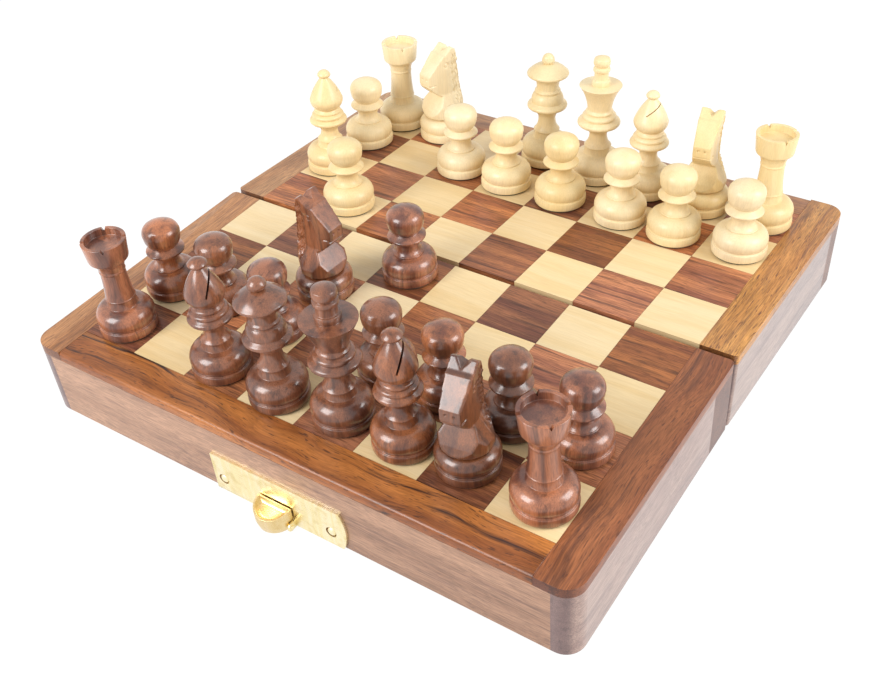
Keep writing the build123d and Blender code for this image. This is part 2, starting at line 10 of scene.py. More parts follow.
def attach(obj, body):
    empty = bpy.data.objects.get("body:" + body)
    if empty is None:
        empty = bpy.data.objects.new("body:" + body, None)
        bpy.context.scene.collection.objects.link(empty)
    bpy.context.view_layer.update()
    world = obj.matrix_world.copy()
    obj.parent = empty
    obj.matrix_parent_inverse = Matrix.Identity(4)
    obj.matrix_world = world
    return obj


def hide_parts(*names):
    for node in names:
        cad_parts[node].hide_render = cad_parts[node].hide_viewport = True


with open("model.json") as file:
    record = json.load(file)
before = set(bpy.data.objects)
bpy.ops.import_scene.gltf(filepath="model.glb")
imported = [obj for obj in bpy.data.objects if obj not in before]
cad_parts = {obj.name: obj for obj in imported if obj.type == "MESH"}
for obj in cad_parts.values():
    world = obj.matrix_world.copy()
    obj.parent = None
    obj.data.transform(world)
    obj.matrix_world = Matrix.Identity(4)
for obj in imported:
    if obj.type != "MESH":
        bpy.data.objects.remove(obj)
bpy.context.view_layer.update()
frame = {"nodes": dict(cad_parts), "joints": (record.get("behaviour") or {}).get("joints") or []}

MM = 0.001

# ---- sizes, in millimetres ----------------------------------------------------------------
square = 19.4
rows = 4
play_half = 4 * square
border = 11.0
half_width = play_half + border
board_top = 25.0
strip_thick = 3.0
fold_gap = 0.15
play_end = fold_gap + rows * square
outer_face = play_end + border
corner_round = 5.5
fold_round = 1.5
top_round = 1.1
seam_ease = 0.15            # tiny eased edges that show as joint lines
near = 0.1                  # how far an edge's middle may lie from the line it is picked for
rim_gap = 0.15

# The trays lean down from the fold to their outer rims.
joints = {joint["name"]: joint for joint in frame["joints"]}
lean = -joints["fold"]["range_deg"][0] / 2
hinge_place = Vector(joints["fold"]["pos_m"]) / MM
rear_place = Matrix.Translation(hinge_place) @ Matrix.Rotation(radians(-lean), 4, "X")
front_place = (Matrix.Translation(hinge_place) @ Matrix.Rotation(pi, 4, "Z")
               @ Matrix.Rotation(radians(-lean), 4, "X"))
tray_places = {"front": front_place, "rear": rear_place}


# ---- mesh helpers -------------------------------------------------------------------------
def set_shading(mesh, sharp_angle):
    """Smooth faces that break at edges sharper than an angle."""
    bm = bmesh.new()
    bm.from_mesh(mesh)
    for face in bm.faces:
        face.smooth = True
    for edge in bm.edges:
        turn = edge.calc_face_angle(0.0)
        edge.smooth = turn < radians(sharp_angle)
    bm.to_mesh(mesh)
    bm.free()


def new_piece(name, bm, place, sharp_angle=32):
    """Turn a bmesh in millimetres into an object whose place is in its mesh."""
    bmesh.ops.recalc_face_normals(bm, faces=bm.faces)
    bmesh.ops.transform(bm, matrix=Matrix.Scale(MM, 4) @ place, verts=bm.verts)
    mesh = bpy.data.meshes.new(name)
    bm.to_mesh(mesh)
    bm.free()
    set_shading(mesh, sharp_angle)
    piece = bpy.data.objects.new(name, mesh)
    bpy.context.scene.collection.objects.link(piece)
    return piece


def dress(piece, body, nodes, material):
    """Say which body a piece rides on, what it stands for and what it is made of."""
    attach(piece, body)
    if nodes:
        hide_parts(*nodes)
    piece.data.materials.clear()
    piece.data.materials.append(material)


def bar(low, high):
    """A block between two corners."""
    bm = bmesh.new()
    bmesh.ops.create_cube(bm, size=1)
    low, high = Vector(low), Vector(high)
    size = high - low
    bmesh.ops.scale(bm, vec=size, verts=bm.verts)
    bmesh.ops.translate(bm, vec=(low + high) / 2, verts=bm.verts)
    return bm


def ease(bm, edges, offset, segments=1):
    """Round or chamfer some edges."""
    bmesh.ops.bevel(bm, geom=list(edges), offset=offset, offset_type="OFFSET", segments=segments,
                    profile=0.5, affect="EDGES", material=-1, clamp_overlap=True)


def middle(edge):
    return (edge.verts[0].co + edge.verts[1].co) / 2


def upright(edge):
    return abs((edge.verts[0].co - edge.verts[1].co).normalized().z) > 0.99


def sharp_edges(bm, angle=60):
    """Edges where two faces turn by more than an angle."""
    return [edge for edge in bm.edges if edge.calc_face_angle(0.0) > radians(angle)]


def swing(bm, angle, axis):
    """Turn a bmesh about an axis through its origin."""
    bmesh.ops.rotate(bm, cent=(0, 0, 0), matrix=Matrix.Rotation(angle, 3, axis), verts=bm.verts)


def pull(bm, face, travel):
    """Extrude one face along a vector."""
    grown = bmesh.ops.extrude_face_region(bm, geom=[face])
    moved = [g for g in grown["geom"] if isinstance(g, bmesh.types.BMVert)]
    bmesh.ops.translate(bm, vec=travel, verts=moved)


def boolean(target, tool, operation):
    """Join or cut one loose mesh object with another and keep the result in the first."""
    modifier = target.modifiers.new("shape", "BOOLEAN")
    modifier.operation = operation
    modifier.solver = "EXACT"
    modifier.object = tool
    graph = bpy.context.evaluated_depsgraph_get()
    result = bpy.data.meshes.new_from_object(target.evaluated_get(graph))
    target.modifiers.clear()
    target.data = result
    bpy.data.objects.remove(tool)


def loose(bm):
    """A working object in millimetres, for booleans."""
    bmesh.ops.recalc_face_normals(bm, faces=bm.faces)
    mesh = bpy.data.meshes.new("working")
    bm.to_mesh(mesh)
    bm.free()
    working = bpy.data.objects.new("working", mesh)
    bpy.context.scene.collection.objects.link(working)
    return working


def taken(working):
    """The bmesh of a working object, which is removed."""
    bm = bmesh.new()
    bm.from_mesh(working.data)
    bpy.data.objects.remove(working)
    return bm


def prism(outline, x0, x1):
    """A block with an outline of (y, z) points between two places along X."""
    bm = bmesh.new()
    face = bm.faces.new([bm.verts.new((x0, y, z)) for y, z in outline])
    pull(bm, face, (x1 - x0, 0, 0))
    return bm


def slab(outline, thick):
    """A flat sheet with an outline of (x, y) points."""
    bm = bmesh.new()
    face = bm.faces.new([bm.verts.new((x, y, 0)) for x, y in outline])
    pull(bm, face, (0, 0, thick))
    return bm


# ---- shader helpers -----------------------------------------------------------------------
class Nodes:
    """Places shader nodes in a tree and joins them."""

    def __init__(self, tree):
        self.tree = tree

    def add(self, kind, **settings):
        node = self.tree.nodes.new(kind)
        for key, value in settings.items():
            setattr(node, key, value)
        return node

    def join(self, source, target):
        self.tree.links.new(source, target)

    def put(self, value, socket):
        """Link a socket or set a constant."""
        if isinstance(value, bpy.types.NodeSocket):
            self.join(value, socket)
        else:
            socket.default_value = value

    def math(self, operation, a, b=0.0, clamp=False):
        node = self.add("ShaderNodeMath", operation=operation, use_clamp=clamp)
        self.put(a, node.inputs[0])
        self.put(b, node.inputs[1])
        return node.outputs[0]

    def vector(self, operation, a, b):
        node = self.add("ShaderNodeVectorMath", operation=operation)
        self.put(a, node.inputs[0])
        self.put(b, node.inputs[1])
        return node.outputs[0]

    def noise(self, place, scale, detail, rough=0.5, distortion=0.0):
        node = self.add("ShaderNodeTexNoise")
        self.put(place, node.inputs["Vector"])
        self.put(scale, node.inputs["Scale"])
        node.inputs["Detail"].default_value = detail
        node.inputs["Roughness"].default_value = rough
        self.put(distortion, node.inputs["Distortion"])
        return node.outputs["Fac"]

    def spread(self, value, low, high, to_low=0.0, to_high=1.0):
        """Stretch a range of values to another and hold the ends."""
        node = self.add("ShaderNodeMapRange", interpolation_type="SMOOTHSTEP")
        self.put(value, node.inputs["Value"])
        self.put(low, node.inputs["From Min"])
        self.put(high, node.inputs["From Max"])
        self.put(to_low, node.inputs["To Min"])
        self.put(to_high, node.inputs["To Max"])
        return node.outputs["Result"]

    def mix(self, factor, a, b, blend="MIX"):
        node = self.add("ShaderNodeMix", data_type="RGBA", blend_type=blend)
        self.put(factor, node.inputs[0])
        self.put(a, node.inputs[6])
        self.put(b, node.inputs[7])
        return node.outputs[2]

    def group(self, tree, **values):
        node = self.add("ShaderNodeGroup", node_tree=tree)
        for key, value in values.items():
            self.put(value, node.inputs[key.replace("_", " ")])
        return node


def new_group(name, inputs, outputs):
    """A shader node group with named sockets: (name, kind, default)."""
    tree = bpy.data.node_groups.new(name, "ShaderNodeTree")
    for label, kind, default in inputs:
        socket = tree.interface.new_socket(label, in_out="INPUT", socket_type=kind)
        if default is not None:
            socket.default_value = default
    for label, kind in outputs:
        tree.interface.new_socket(label, in_out="OUTPUT", socket_type=kind)
    nodes = Nodes(tree)
    source = nodes.add("NodeGroupInput")
    target = nodes.add("NodeGroupOutput")
    return tree, nodes, source.outputs, target.inputs


FLOAT, COLOR, VECTOR = "NodeSocketFloat", "NodeSocketColor", "NodeSocketVector"


def grain_group():
    """Straight-grained wood along X, in millimetres: bands, streaks, fibres and pores."""
    tree, n, given, out = new_group(
        "wood_grain",
        [("Place", VECTOR, None), ("Pale", COLOR, (0.6, 0.35, 0.15, 1)),
         ("Deep", COLOR, (0.3, 0.12, 0.05, 1)), ("Streak", COLOR, (0.1, 0.04, 0.03, 1)),
         ("Band Width", FLOAT, 6.0), ("Waviness", FLOAT, 2.0), ("Streaks", FLOAT, 0.5),
         ("Fibre", FLOAT, 0.3), ("Pores", FLOAT, 0.4)],
        [("Color", COLOR), ("Height", FLOAT)])
    place = given["Place"]
    drift = n.noise(n.vector("MULTIPLY", place, (0.018, 0.03, 0.03)), 1.0, 2.0)
    drift = n.math("MULTIPLY", n.math("SUBTRACT", drift, 0.5), given["Waviness"])
    sway = n.add("ShaderNodeCombineXYZ")
    n.join(drift, sway.inputs["Y"])
    n.join(drift, sway.inputs["Z"])
    swayed = n.vector("ADD", place, n.vector("MULTIPLY", sway.outputs[0], (0, 4, 2)))
    across = n.math("DIVIDE", 1.0, given["Band Width"])
    banded = n.vector("MULTIPLY", swayed, (0.05, 1, 1))
    bands = n.noise(banded, across, 3.0, 0.55, 0.3)
    color = n.mix(n.spread(bands, 0.36, 0.66), given["Pale"], given["Deep"])
    drawn_out = n.vector("MULTIPLY", swayed, (0.03, 1, 1))
    narrow = n.noise(drawn_out, n.math("MULTIPLY", across, 3.1), 4.0, 0.6)
    streak = n.math("MULTIPLY", n.spread(narrow, 0.52, 0.68), given["Streaks"])
    color = n.mix(streak, color, given["Streak"])
    fibre = n.noise(n.vector("MULTIPLY", swayed, (0.16, 3.0, 3.0)), 1.0, 3.0, 0.65)
    shade = n.spread(fibre, 0.3, 0.7, 0.5, 1.4)
    shade = n.math("ADD", 1.0, n.math("MULTIPLY", n.math("SUBTRACT", shade, 1.0), given["Fibre"]))
    color = n.mix(1.0, color, shade, "MULTIPLY")
    pores = n.noise(n.vector("MULTIPLY", swayed, (0.3, 2.9, 2.9)), 1.0, 1.0, 0.4)
    pore = n.math("MULTIPLY", n.spread(pores, 0.62, 0.71), given["Pores"])
    color = n.mix(pore, color, given["Streak"])
    n.join(color, out["Color"])
    n.join(n.math("SUBTRACT", n.math("MULTIPLY", fibre, 0.3), pore), out["Height"])
    return tree


def tile_group():
    """A different part of the plank and a different tone for every square of the board."""
    tree, n, given, out = new_group(
        "square_tiles",
        [("Place", VECTOR, None), ("Pitch", FLOAT, square), ("Rise", FLOAT, 0.0)],
        [("Place", VECTOR), ("Tone", FLOAT), ("Tint", FLOAT)])
    split = n.add("ShaderNodeSeparateXYZ")
    n.join(given["Place"], split.inputs[0])
    side = n.math("SIGN", split.outputs["Y"])
    from_fold = n.math("SUBTRACT", n.math("ABSOLUTE", split.outputs["Y"]), given["Rise"])
    count = n.math("FLOOR", n.math("DIVIDE", from_fold, given["Pitch"]))
    row = n.math("MULTIPLY", side, n.math("ADD", count, 1))
    column = n.math("FLOOR", n.math("DIVIDE", split.outputs["X"], given["Pitch"]))
    cell = n.add("ShaderNodeCombineXYZ")
    n.join(column, cell.inputs["X"])
    n.join(row, cell.inputs["Y"])
    chance = n.add("ShaderNodeTexWhiteNoise", noise_dimensions="3D")
    n.join(cell.outputs[0], chance.inputs["Vector"])
    shift = n.vector("MULTIPLY", chance.outputs["Color"], (700, 300, 200))
    n.join(n.vector("ADD", given["Place"], shift), out["Place"])
    n.join(chance.outputs["Value"], out["Tone"])
    parts = n.add("ShaderNodeSeparateColor")
    n.join(chance.outputs["Color"], parts.inputs[0])
    n.join(parts.outputs[1], out["Tint"])
    return tree


def lacquer_group():
    """Slightly uneven clear lacquer: roughness with smears, and a faint ripple."""
    tree, n, given, out = new_group(
        "lacquer", [("Place", VECTOR, None), ("Smooth", FLOAT, 0.2), ("Smears", FLOAT, 0.1)],
        [("Roughness", FLOAT), ("Ripple", FLOAT)])
    smear = n.noise(given["Place"], 0.06, 4.0, 0.6)
    smear = n.math("MULTIPLY", n.math("SUBTRACT", smear, 0.45), given["Smears"])
    n.join(n.math("ADD", given["Smooth"], smear, clamp=True), out["Roughness"])
    n.join(n.noise(given["Place"], 0.25, 2.0), out["Ripple"])
    return tree


wood_grain = grain_group()
square_tiles = tile_group()
lacquer = lacquer_group()


end_grain = (0.45, 0.38, 0.42, 1)      # what end grain multiplies the colour by
wood_relief = 0.35
lacquer_index = 1.5


def start_material(name):
    material = bpy.data.materials.new(name)
    material.use_nodes = True
    n = Nodes(material.node_tree)
    n.tree.nodes.clear()
    shader = n.add("ShaderNodeBsdfPrincipled")
    output = n.add("ShaderNodeOutputMaterial")
    n.join(shader.outputs[0], output.inputs["Surface"])
    return material, n, shader


def object_place(n, grain_along="X", offset=(0, 0, 0)):
    """Object coordinates in millimetres, turned so that the grain runs along X."""
    place = n.add("ShaderNodeTexCoord").outputs["Object"]
    mapping = n.add("ShaderNodeMapping", vector_type="POINT")
    n.join(place, mapping.inputs["Vector"])
    mapping.inputs["Location"].default_value = offset
    if grain_along == "Y":
        mapping.inputs["Rotation"].default_value = (0, 0, radians(-90))
    if grain_along == "Z":
        mapping.inputs["Rotation"].default_value = (0, radians(90), 0)
    mapping.inputs["Scale"].default_value = (1 / MM,) * 3
    return mapping.outputs[0]


def bumped(n, shader, height, distance, strength):
    bump = n.add("ShaderNodeBump")
    bump.inputs["Strength"].default_value = strength
    bump.inputs["Distance"].default_value = distance
    n.join(height, bump.inputs["Height"])
    n.join(bump.outputs[0], shader.inputs["Normal"])


def finish_wood(n, shader, place, color, height, smooth, coat, smears=0.12, shine=0.3,
                coat_rough=0.25):
    """Clear-lacquered wood."""
    film = n.group(lacquer, Place=place, Smooth=smooth, Smears=smears)
    n.join(color, shader.inputs["Base Color"])
    n.join(film.outputs["Roughness"], shader.inputs["Roughness"])
    shader.inputs["Specular IOR Level"].default_value = shine
    shader.inputs["Coat Weight"].default_value = coat
    shader.inputs["Coat Roughness"].default_value = coat_rough
    shader.inputs["Coat IOR"].default_value = lacquer_index
    bumped(n, shader, n.math("ADD", height, film.outputs["Ripple"]), 0.05 * MM, wood_relief)


def end_grain_color(n, color, axis):
    """Deeper colour where a face cuts across the grain."""
    normal = n.add("ShaderNodeTexCoord").outputs["Normal"]
    split = n.add("ShaderNodeSeparateXYZ")
    n.join(normal, split.inputs[0])
    facing = n.math("ABSOLUTE", split.outputs[axis])
    return n.mix(n.spread(facing, 0.55, 0.9), color, end_grain, "MULTIPLY")


def plank_material(name, pale, deep, streak, along, offset, band, wavy, streaks, fibre, pores,
                   smooth=0.3, shine=0.35, coat=0.15):
    """A rail or strip of rosewood."""
    material, n, shader = start_material(name)
    place = object_place(n, along, offset)
    grain = n.group(wood_grain, Place=place, Pale=pale, Deep=deep, Streak=streak, Band_Width=band,
                    Waviness=wavy, Streaks=streaks, Fibre=fibre, Pores=pores)
    color = end_grain_color(n, grain.outputs["Color"], along)
    finish_wood(n, shader, place, color, grain.outputs["Height"], smooth, coat, shine=shine)
    return material


def square_material(name, pale, deep, streak, band, streaks, fibre, pores, tones, tints):
    """The squares: every one is cut from another place of the plank."""
    material, n, shader = start_material(name)
    place = object_place(n, "X", (0, -hinge_place.y, 0))
    rise = fold_gap + board_top * sin(radians(lean))
    tiles = n.group(square_tiles, Place=place, Pitch=square, Rise=rise)
    grain = n.group(wood_grain, Place=tiles.outputs["Place"], Pale=pale, Deep=deep, Streak=streak,
                    Band_Width=band, Waviness=1.5, Streaks=streaks, Fibre=fibre, Pores=pores)
    tone = n.spread(tiles.outputs["Tone"], 0.0, 1.0, *tones)
    color = n.mix(1.0, grain.outputs["Color"], tone, "MULTIPLY")
    tint = n.mix(tiles.outputs["Tint"], *tints)
    color = n.mix(1.0, color, tint, "MULTIPLY")
    finish_wood(n, shader, place, color, grain.outputs["Height"], smooth=0.34, coat=0.1)
    return material


def piece_material(name, pale, deep, streak, band, streaks, fibre, pores, tones, tints, smooth, coat):
    """Turned and carved wood; the grain runs up the piece, and each piece has its own tone."""
    material, n, shader = start_material(name)
    own = n.add("ShaderNodeAttribute", attribute_name="own_place", attribute_type="GEOMETRY")
    tone = n.add("ShaderNodeAttribute", attribute_name="own_tone", attribute_type="GEOMETRY")
    grain = n.group(wood_grain, Place=own.outputs["Vector"], Pale=pale, Deep=deep, Streak=streak,
                    Band_Width=band, Waviness=2.5, Streaks=streaks, Fibre=fibre, Pores=pores)
    split = n.add("ShaderNodeSeparateXYZ")
    n.join(tone.outputs["Vector"], split.inputs[0])
    shade = n.spread(split.outputs["X"], 0.0, 1.0, *tones)
    color = n.mix(1.0, grain.outputs["Color"], shade, "MULTIPLY")
    color = n.mix(1.0, color, n.mix(split.outputs["Y"], *tints), "MULTIPLY")
    finish_wood(n, shader, own.outputs["Vector"], color, grain.outputs["Height"], smooth, coat,
                smears=0.1, coat_rough=0.2)
    return material


def brass_material(name, color, rough, scratch_along):
    """Bright stamped brass with fine scratches, rolling streaks in its relief that are also painted into
    the colour as paler reflections, and a little tarnish.
    """
    material, n, shader = start_material(name)
    place = object_place(n, scratch_along)
    fine = n.noise(n.vector("MULTIPLY", place, (0.15, 6, 6)), 1.0, 3.0, 0.6)
    cloud = n.noise(place, 0.3, 3.0)
    streak = n.noise(n.vector("MULTIPLY", place, (0.7, 0.05, 0.05)), 1.0, 3.0, 0.6)
    dull = tuple(c * f for c, f in zip(color[:3], (0.86, 0.8, 0.66))) + (1,)
    # Painted reflection: along the streaks the colour turns whiter and bluer, as the white surroundings
    # would show in the metal.
    pale = tuple(min(1.0, c * f) for c, f in zip(color[:3], (1.04, 1.06, 1.25))) + (1,)
    with_painted_reflections = n.mix(n.spread(streak, 0.4, 0.6), color, pale)
    n.join(n.mix(n.spread(cloud, 0.45, 0.8), with_painted_reflections, dull), shader.inputs["Base Color"])
    shader.inputs["Metallic"].default_value = 1.0
    roughness = n.math("ADD", n.spread(fine, 0.3, 0.7, rough * 0.7, rough * 1.4),
                       n.math("MULTIPLY", cloud, 0.08))
    n.join(roughness, shader.inputs["Roughness"])
    bumped(n, shader, n.math("ADD", n.math("MULTIPLY", fine, 0.3), streak), 0.012 * MM, 0.3)
    return material


def felt_material(name, color, deep):
    """Short felt with a soft nap."""
    material, n, shader = start_material(name)
    place = object_place(n)
    nap = n.noise(place, 2.5, 4.0, 0.7)
    cloud = n.noise(place, 0.08, 2.0)
    shade = n.math("MULTIPLY", n.math("ADD", nap, cloud), 0.5)
    n.join(n.mix(n.spread(shade, 0.35, 0.65), deep, color), shader.inputs["Base Color"])
    n.join(n.spread(nap, 0.2, 0.8, 0.85, 1.0), shader.inputs["Roughness"])
    shader.inputs["Sheen Weight"].default_value = 0.4
    bumped(n, shader, nap, 0.15 * MM, 0.8)
    return material


def steel_material(name):
    material, n, shader = start_material(name)
    place = object_place(n)
    fine = n.noise(n.vector("MULTIPLY", place, (0.1, 5, 5)), 1.0, 2.0)
    n.join(n.mix(fine, (0.42, 0.42, 0.43, 1), (0.55, 0.55, 0.56, 1)), shader.inputs["Base Color"])
    shader.inputs["Metallic"].default_value = 1.0
    n.join(n.spread(fine, 0.2, 0.8, 0.3, 0.45), shader.inputs["Roughness"])
    return material


# ---- woods --------------------------------------------------------------------------------
def rgb(red, green, blue):
    return (red, green, blue, 1)


woods = {
    "front_end_strip": plank_material(
        "front_end_strip_wood", rgb(0.47, 0.17, 0.042), rgb(0.22, 0.066, 0.017), rgb(0.035, 0.014, 0.01),
        "X", (14, 3, 0), 7, 5.0, 1.0, 0.5, 0.7),
    "front_left_strip": plank_material(
        "front_left_strip_wood", rgb(0.44, 0.21, 0.09), rgb(0.31, 0.13, 0.05), rgb(0.13, 0.055, 0.035),
        "Y", (31, 9, 0), 6, 1.5, 0.4, 0.7, 0.6),
    "front_right_strip": plank_material(
        "front_right_strip_wood", rgb(0.30, 0.105, 0.04), rgb(0.20, 0.062, 0.025), rgb(0.06, 0.023, 0.017),
        "Y", (55, 21, 0), 9, 3.0, 0.6, 0.6, 0.6),
    "rear_end_strip": plank_material(
        "rear_end_strip_wood", rgb(0.45, 0.22, 0.09), rgb(0.33, 0.14, 0.055), rgb(0.14, 0.05, 0.035),
        "X", (82, 33, 0), 6, 2.0, 0.5, 0.7, 0.6),
    "rear_left_strip": plank_material(
        "rear_left_strip_wood", rgb(0.50, 0.27, 0.125), rgb(0.38, 0.18, 0.075), rgb(0.17, 0.075, 0.04),
        "Y", (7, 51, 0), 7, 1.5, 0.4, 0.7, 0.6),
    "rear_right_strip": plank_material(
        "rear_right_strip_wood", rgb(0.52, 0.25, 0.075), rgb(0.38, 0.16, 0.045), rgb(0.14, 0.055, 0.03),
        "Y", (97, 5, 0), 5, 1.0, 0.55, 0.7, 0.9),
    "front_outer_rail": plank_material(
        "front_outer_rail_wood", rgb(0.38, 0.215, 0.135), rgb(0.27, 0.145, 0.09), rgb(0.13, 0.065, 0.05),
        "X", (3, 71, 0), 7, 2.5, 0.5, 0.6, 0.4),
    "rear_outer_rail": plank_material(
        "rear_outer_rail_wood", rgb(0.44, 0.23, 0.13), rgb(0.33, 0.16, 0.09), rgb(0.17, 0.08, 0.06),
        "X", (23, 11, 0), 7, 2.5, 0.5, 0.6, 0.4),
    "front_hinge_rail": plank_material(
        "front_hinge_rail_wood", rgb(0.36, 0.18, 0.10), rgb(0.27, 0.12, 0.07), rgb(0.13, 0.055, 0.04),
        "X", (43, 17, 0), 6, 2.0, 0.5, 0.6, 0.4),
    "rear_hinge_rail": plank_material(
        "rear_hinge_rail_wood", rgb(0.38, 0.20, 0.11), rgb(0.28, 0.13, 0.07), rgb(0.13, 0.055, 0.04),
        "X", (63, 27, 0), 6, 2.0, 0.5, 0.6, 0.4),
    # The side rails' paler, greyer colours are partly the wood and partly painted reflection: the glare of
    # the white surroundings on these grazing faces is painted into them.
    "front_side_rails": plank_material(
        "front_side_rails_wood", rgb(0.38, 0.25, 0.20), rgb(0.28, 0.17, 0.14), rgb(0.16, 0.09, 0.08),
        "Y", (5, 61, 0), 8, 3.0, 0.5, 0.6, 0.3, shine=0.5, coat=0.5),
    "rear_side_rails": plank_material(
        "rear_side_rails_wood", rgb(0.36, 0.25, 0.21), rgb(0.26, 0.18, 0.16), rgb(0.15, 0.10, 0.10),
        "Y", (45, 31, 0), 8, 3.0, 0.6, 0.6, 0.3, shine=0.5, coat=0.5),
}
dark_square_wood = square_material(
    "dark_square_wood", rgb(0.39, 0.155, 0.07), rgb(0.20, 0.07, 0.04), rgb(0.055, 0.024, 0.02),
    4.5, 0.75, 0.75, 0.55, (0.75, 1.35), (rgb(1.12, 1.0, 0.7), rgb(0.95, 0.97, 1.08)))
light_square_wood = square_material(
    "light_square_wood", rgb(0.79, 0.63, 0.38), rgb(0.75, 0.57, 0.31), rgb(0.64, 0.45, 0.23),
    4.0, 0.15, 0.1, 0.08, (0.94, 1.04), (rgb(1.0, 0.96, 0.88), rgb(1.0, 1.01, 1.05)))
dark_piece_wood = piece_material(
    "dark_piece_wood", rgb(0.28, 0.105, 0.048), rgb(0.085, 0.028, 0.017), rgb(0.022, 0.009, 0.007),
    7.0, 0.55, 0.5, 0.25, (0.7, 1.4), (rgb(0.95, 0.95, 1.05), rgb(1.2, 1.08, 0.85)), 0.36, 1.0)
light_piece_wood = piece_material(
    "light_piece_wood", rgb(0.86, 0.73, 0.46), rgb(0.81, 0.65, 0.37), rgb(0.70, 0.51, 0.26),
    8.0, 0.12, 0.12, 0.05, (0.93, 1.03), (rgb(1.0, 0.93, 0.78), rgb(1.0, 1.0, 1.05)), 0.45, 0.3)
plywood = plank_material(
    "plywood", rgb(0.55, 0.38, 0.2), rgb(0.47, 0.31, 0.16), rgb(0.35, 0.22, 0.12), "X", (0, 0, 0),
    9, 2, 0.2, 0.5, 0.2, 0.6)
brass = brass_material("brass", rgb(0.93, 0.80, 0.46), 0.26, "X")
brass_tab = brass_material("brass_tab", rgb(0.80, 0.62, 0.32), 0.26, "X")
green_felt = felt_material("green_felt", rgb(0.03, 0.16, 0.06), rgb(0.015, 0.09, 0.035))
pad_felt = felt_material("pad_felt", rgb(0.05, 0.06, 0.035), rgb(0.03, 0.035, 0.02))
steel = steel_material("tray_steel")


# ---- woodwork -----------------------------------------------------------------------------
def keep_cad(node, material):
    frame["nodes"][node].data.materials.clear()
    frame["nodes"][node].data.materials.append(material)


def dress_cad_nodes():
    for tray in ("front", "rear"):
        for part in ("outer_rail", "hinge_rail", "side_rails"):
            keep_cad(f"{tray}_{part}", woods[f"{tray}_{part}"])
        keep_cad(f"{tray}_dark_squares", dark_square_wood)
        keep_cad(f"{tray}_light_squares", light_square_wood)
        keep_cad(f"{tray}_base_panel", plywood)
        keep_cad(f"{tray}_felt_lining", green_felt)
        keep_cad(f"{tray}_steel_sheet", steel)
        keep_cad(f"{tray}_hinge_leaves", brass)
        keep_cad(f"{tray}_hinge_screws", brass)
    keep_cad("front_hinge_pins", brass)


def border_strip(kind):
    """A strip of the border, in the frame of its tray."""
    low_z = board_top - strip_thick
    if kind == "end":
        bm = bar((-play_half, play_end, low_z), (play_half, outer_face, board_top))
        outer = [e for e in bm.edges if middle(e).y > outer_face - near and middle(e).z > board_top - near]
    else:
        bm = bar((play_half, fold_gap, low_z), (half_width, outer_face, board_top))
        for y, radius in ((outer_face, corner_round), (fold_gap, fold_round)):
            corner = [e for e in bm.edges if upright(e) and abs(middle(e).y - y) < near
                      and middle(e).x > half_width - near]
            ease(bm, corner, radius, 10)
        outer = [e for e in bm.edges if middle(e).z > board_top - near
                 and middle(e).x > play_half + near and middle(e).y > fold_gap + near]
    ease(bm, outer, top_round, 5)
    ease(bm, sharp_edges(bm), seam_ease)
    if kind == "left":
        bmesh.ops.scale(bm, vec=(-1, 1, 1), verts=bm.verts)
        bmesh.ops.reverse_faces(bm, faces=bm.faces)
    return bm


def make_border():
    # Seen from the latch side, the front tray is turned half round, so its left is local right.
    for tray, place in tray_places.items():
        for kind in ("end", "left", "right"):
            local = kind
            if tray == "front" and kind != "end":
                local = "left" if kind == "right" else "right"
            strip = new_piece(f"{tray}_{kind}_strip", border_strip(local), place)
            dress(strip, f"{tray}_tray", [f"{tray}_border_strips"],
                  woods[f"{tray}_{kind}_strip"])


# ---- turned pieces ------------------------------------------------------------------------
turn_steps = 72             # sides of a turned piece
arc_steps = 7               # parts of a bowed run
cap_steps = 10
worn_corner = 0.16          # how far back a sharp corner is worn round
worn_share = 0.4            # and at most this share of the runs beside it
soft_corner = 22            # corners that turn less than this stay, in degrees
pad_thick = 0.6
pad_inset = 0.5
pad_ease = 0.12
plinth = 2.5
plinth_bow = 0.15
groove = 0.45
groove_lip = 0.1
foot_lip = 0.3
foot_radius = 8.3
pawn_foot_radius = 8.2
crenels = 4
crenel_width = 1.1
crenel_depth = 1.2
crown_rim = 1.1
crown_depth = 2.2
slit_width = {"dark": 0.55, "light": 0.35}
slit_tilt = {"dark": 66, "light": 36}
slit_reach = 1.7
slit_fall = {"dark": 5.9, "light": 4.7}
heights = {
    "dark": {"pawn": 24.0, "rook": 31.0, "knight": 33.8, "bishop": 37.3, "queen": 39.6,
             "king": 43.0},
    "light": {"pawn": 24.0, "rook": 31.0, "knight": 33.8, "bishop": 35.4, "queen": 38.5,
              "king": 42.5}}
finial_spread = {"dark": 1.25, "light": 1.0}
cup_radius = {"dark": 7.5, "light": 6.9}
caps = {"pawn": 1.45, "bishop": 1.45, "queen": 1.75, "king": 0.65}

# Outlines above the foot as (radius, rise, bulge); the rises are stretched to the height.
pawn_outline = [
    (4.6, 4.7, 1.6), (4.4, 0.5, 0.2), (3.4, 2.2, -0.3), (5.3, 2.6, -0.4), (5.4, 0.9, 0.35),
    (3.9, 1.1, 0), (5.45, 3.5, 0.4), (4.6, 3.1, 0.45)]
rook_outline = [
    (4.5, 5.0, 1.8), (4.1, 2.4, -0.1), (4.2, 0.5, 0.2), (3.6, 8.6, -0.15), (3.8, 0.4, 0),
    (3.6, 0.5, 0), (3.9, 1.2, 0), (5.6, 2.3, -0.3), (5.75, 0.6, 0), (6.3, 5.55, 0)]
bishop_outline = [
    (4.4, 4.7, 1.8), (4.0, 2.1, -0.1), (4.1, 0.4, 0.15), (2.9, 2.4, -0.3), (3.2, 1.6, -0.2),
    (5.7, 2.0, -0.3), (5.8, 1.4, 0.5), (5.0, 0.5, 0), (4.9, 1.3, 0.4), (4.2, 0.3, 0),
    (4.2, 0.9, 0.3), (3.8, 0.7, 0), (5.5, 3.2, 0.5), (1.4, 7.2, 0.4)]
bishop_finial = [(1.3, 0.3, 0), (2.15, 1.0, 0.3)]
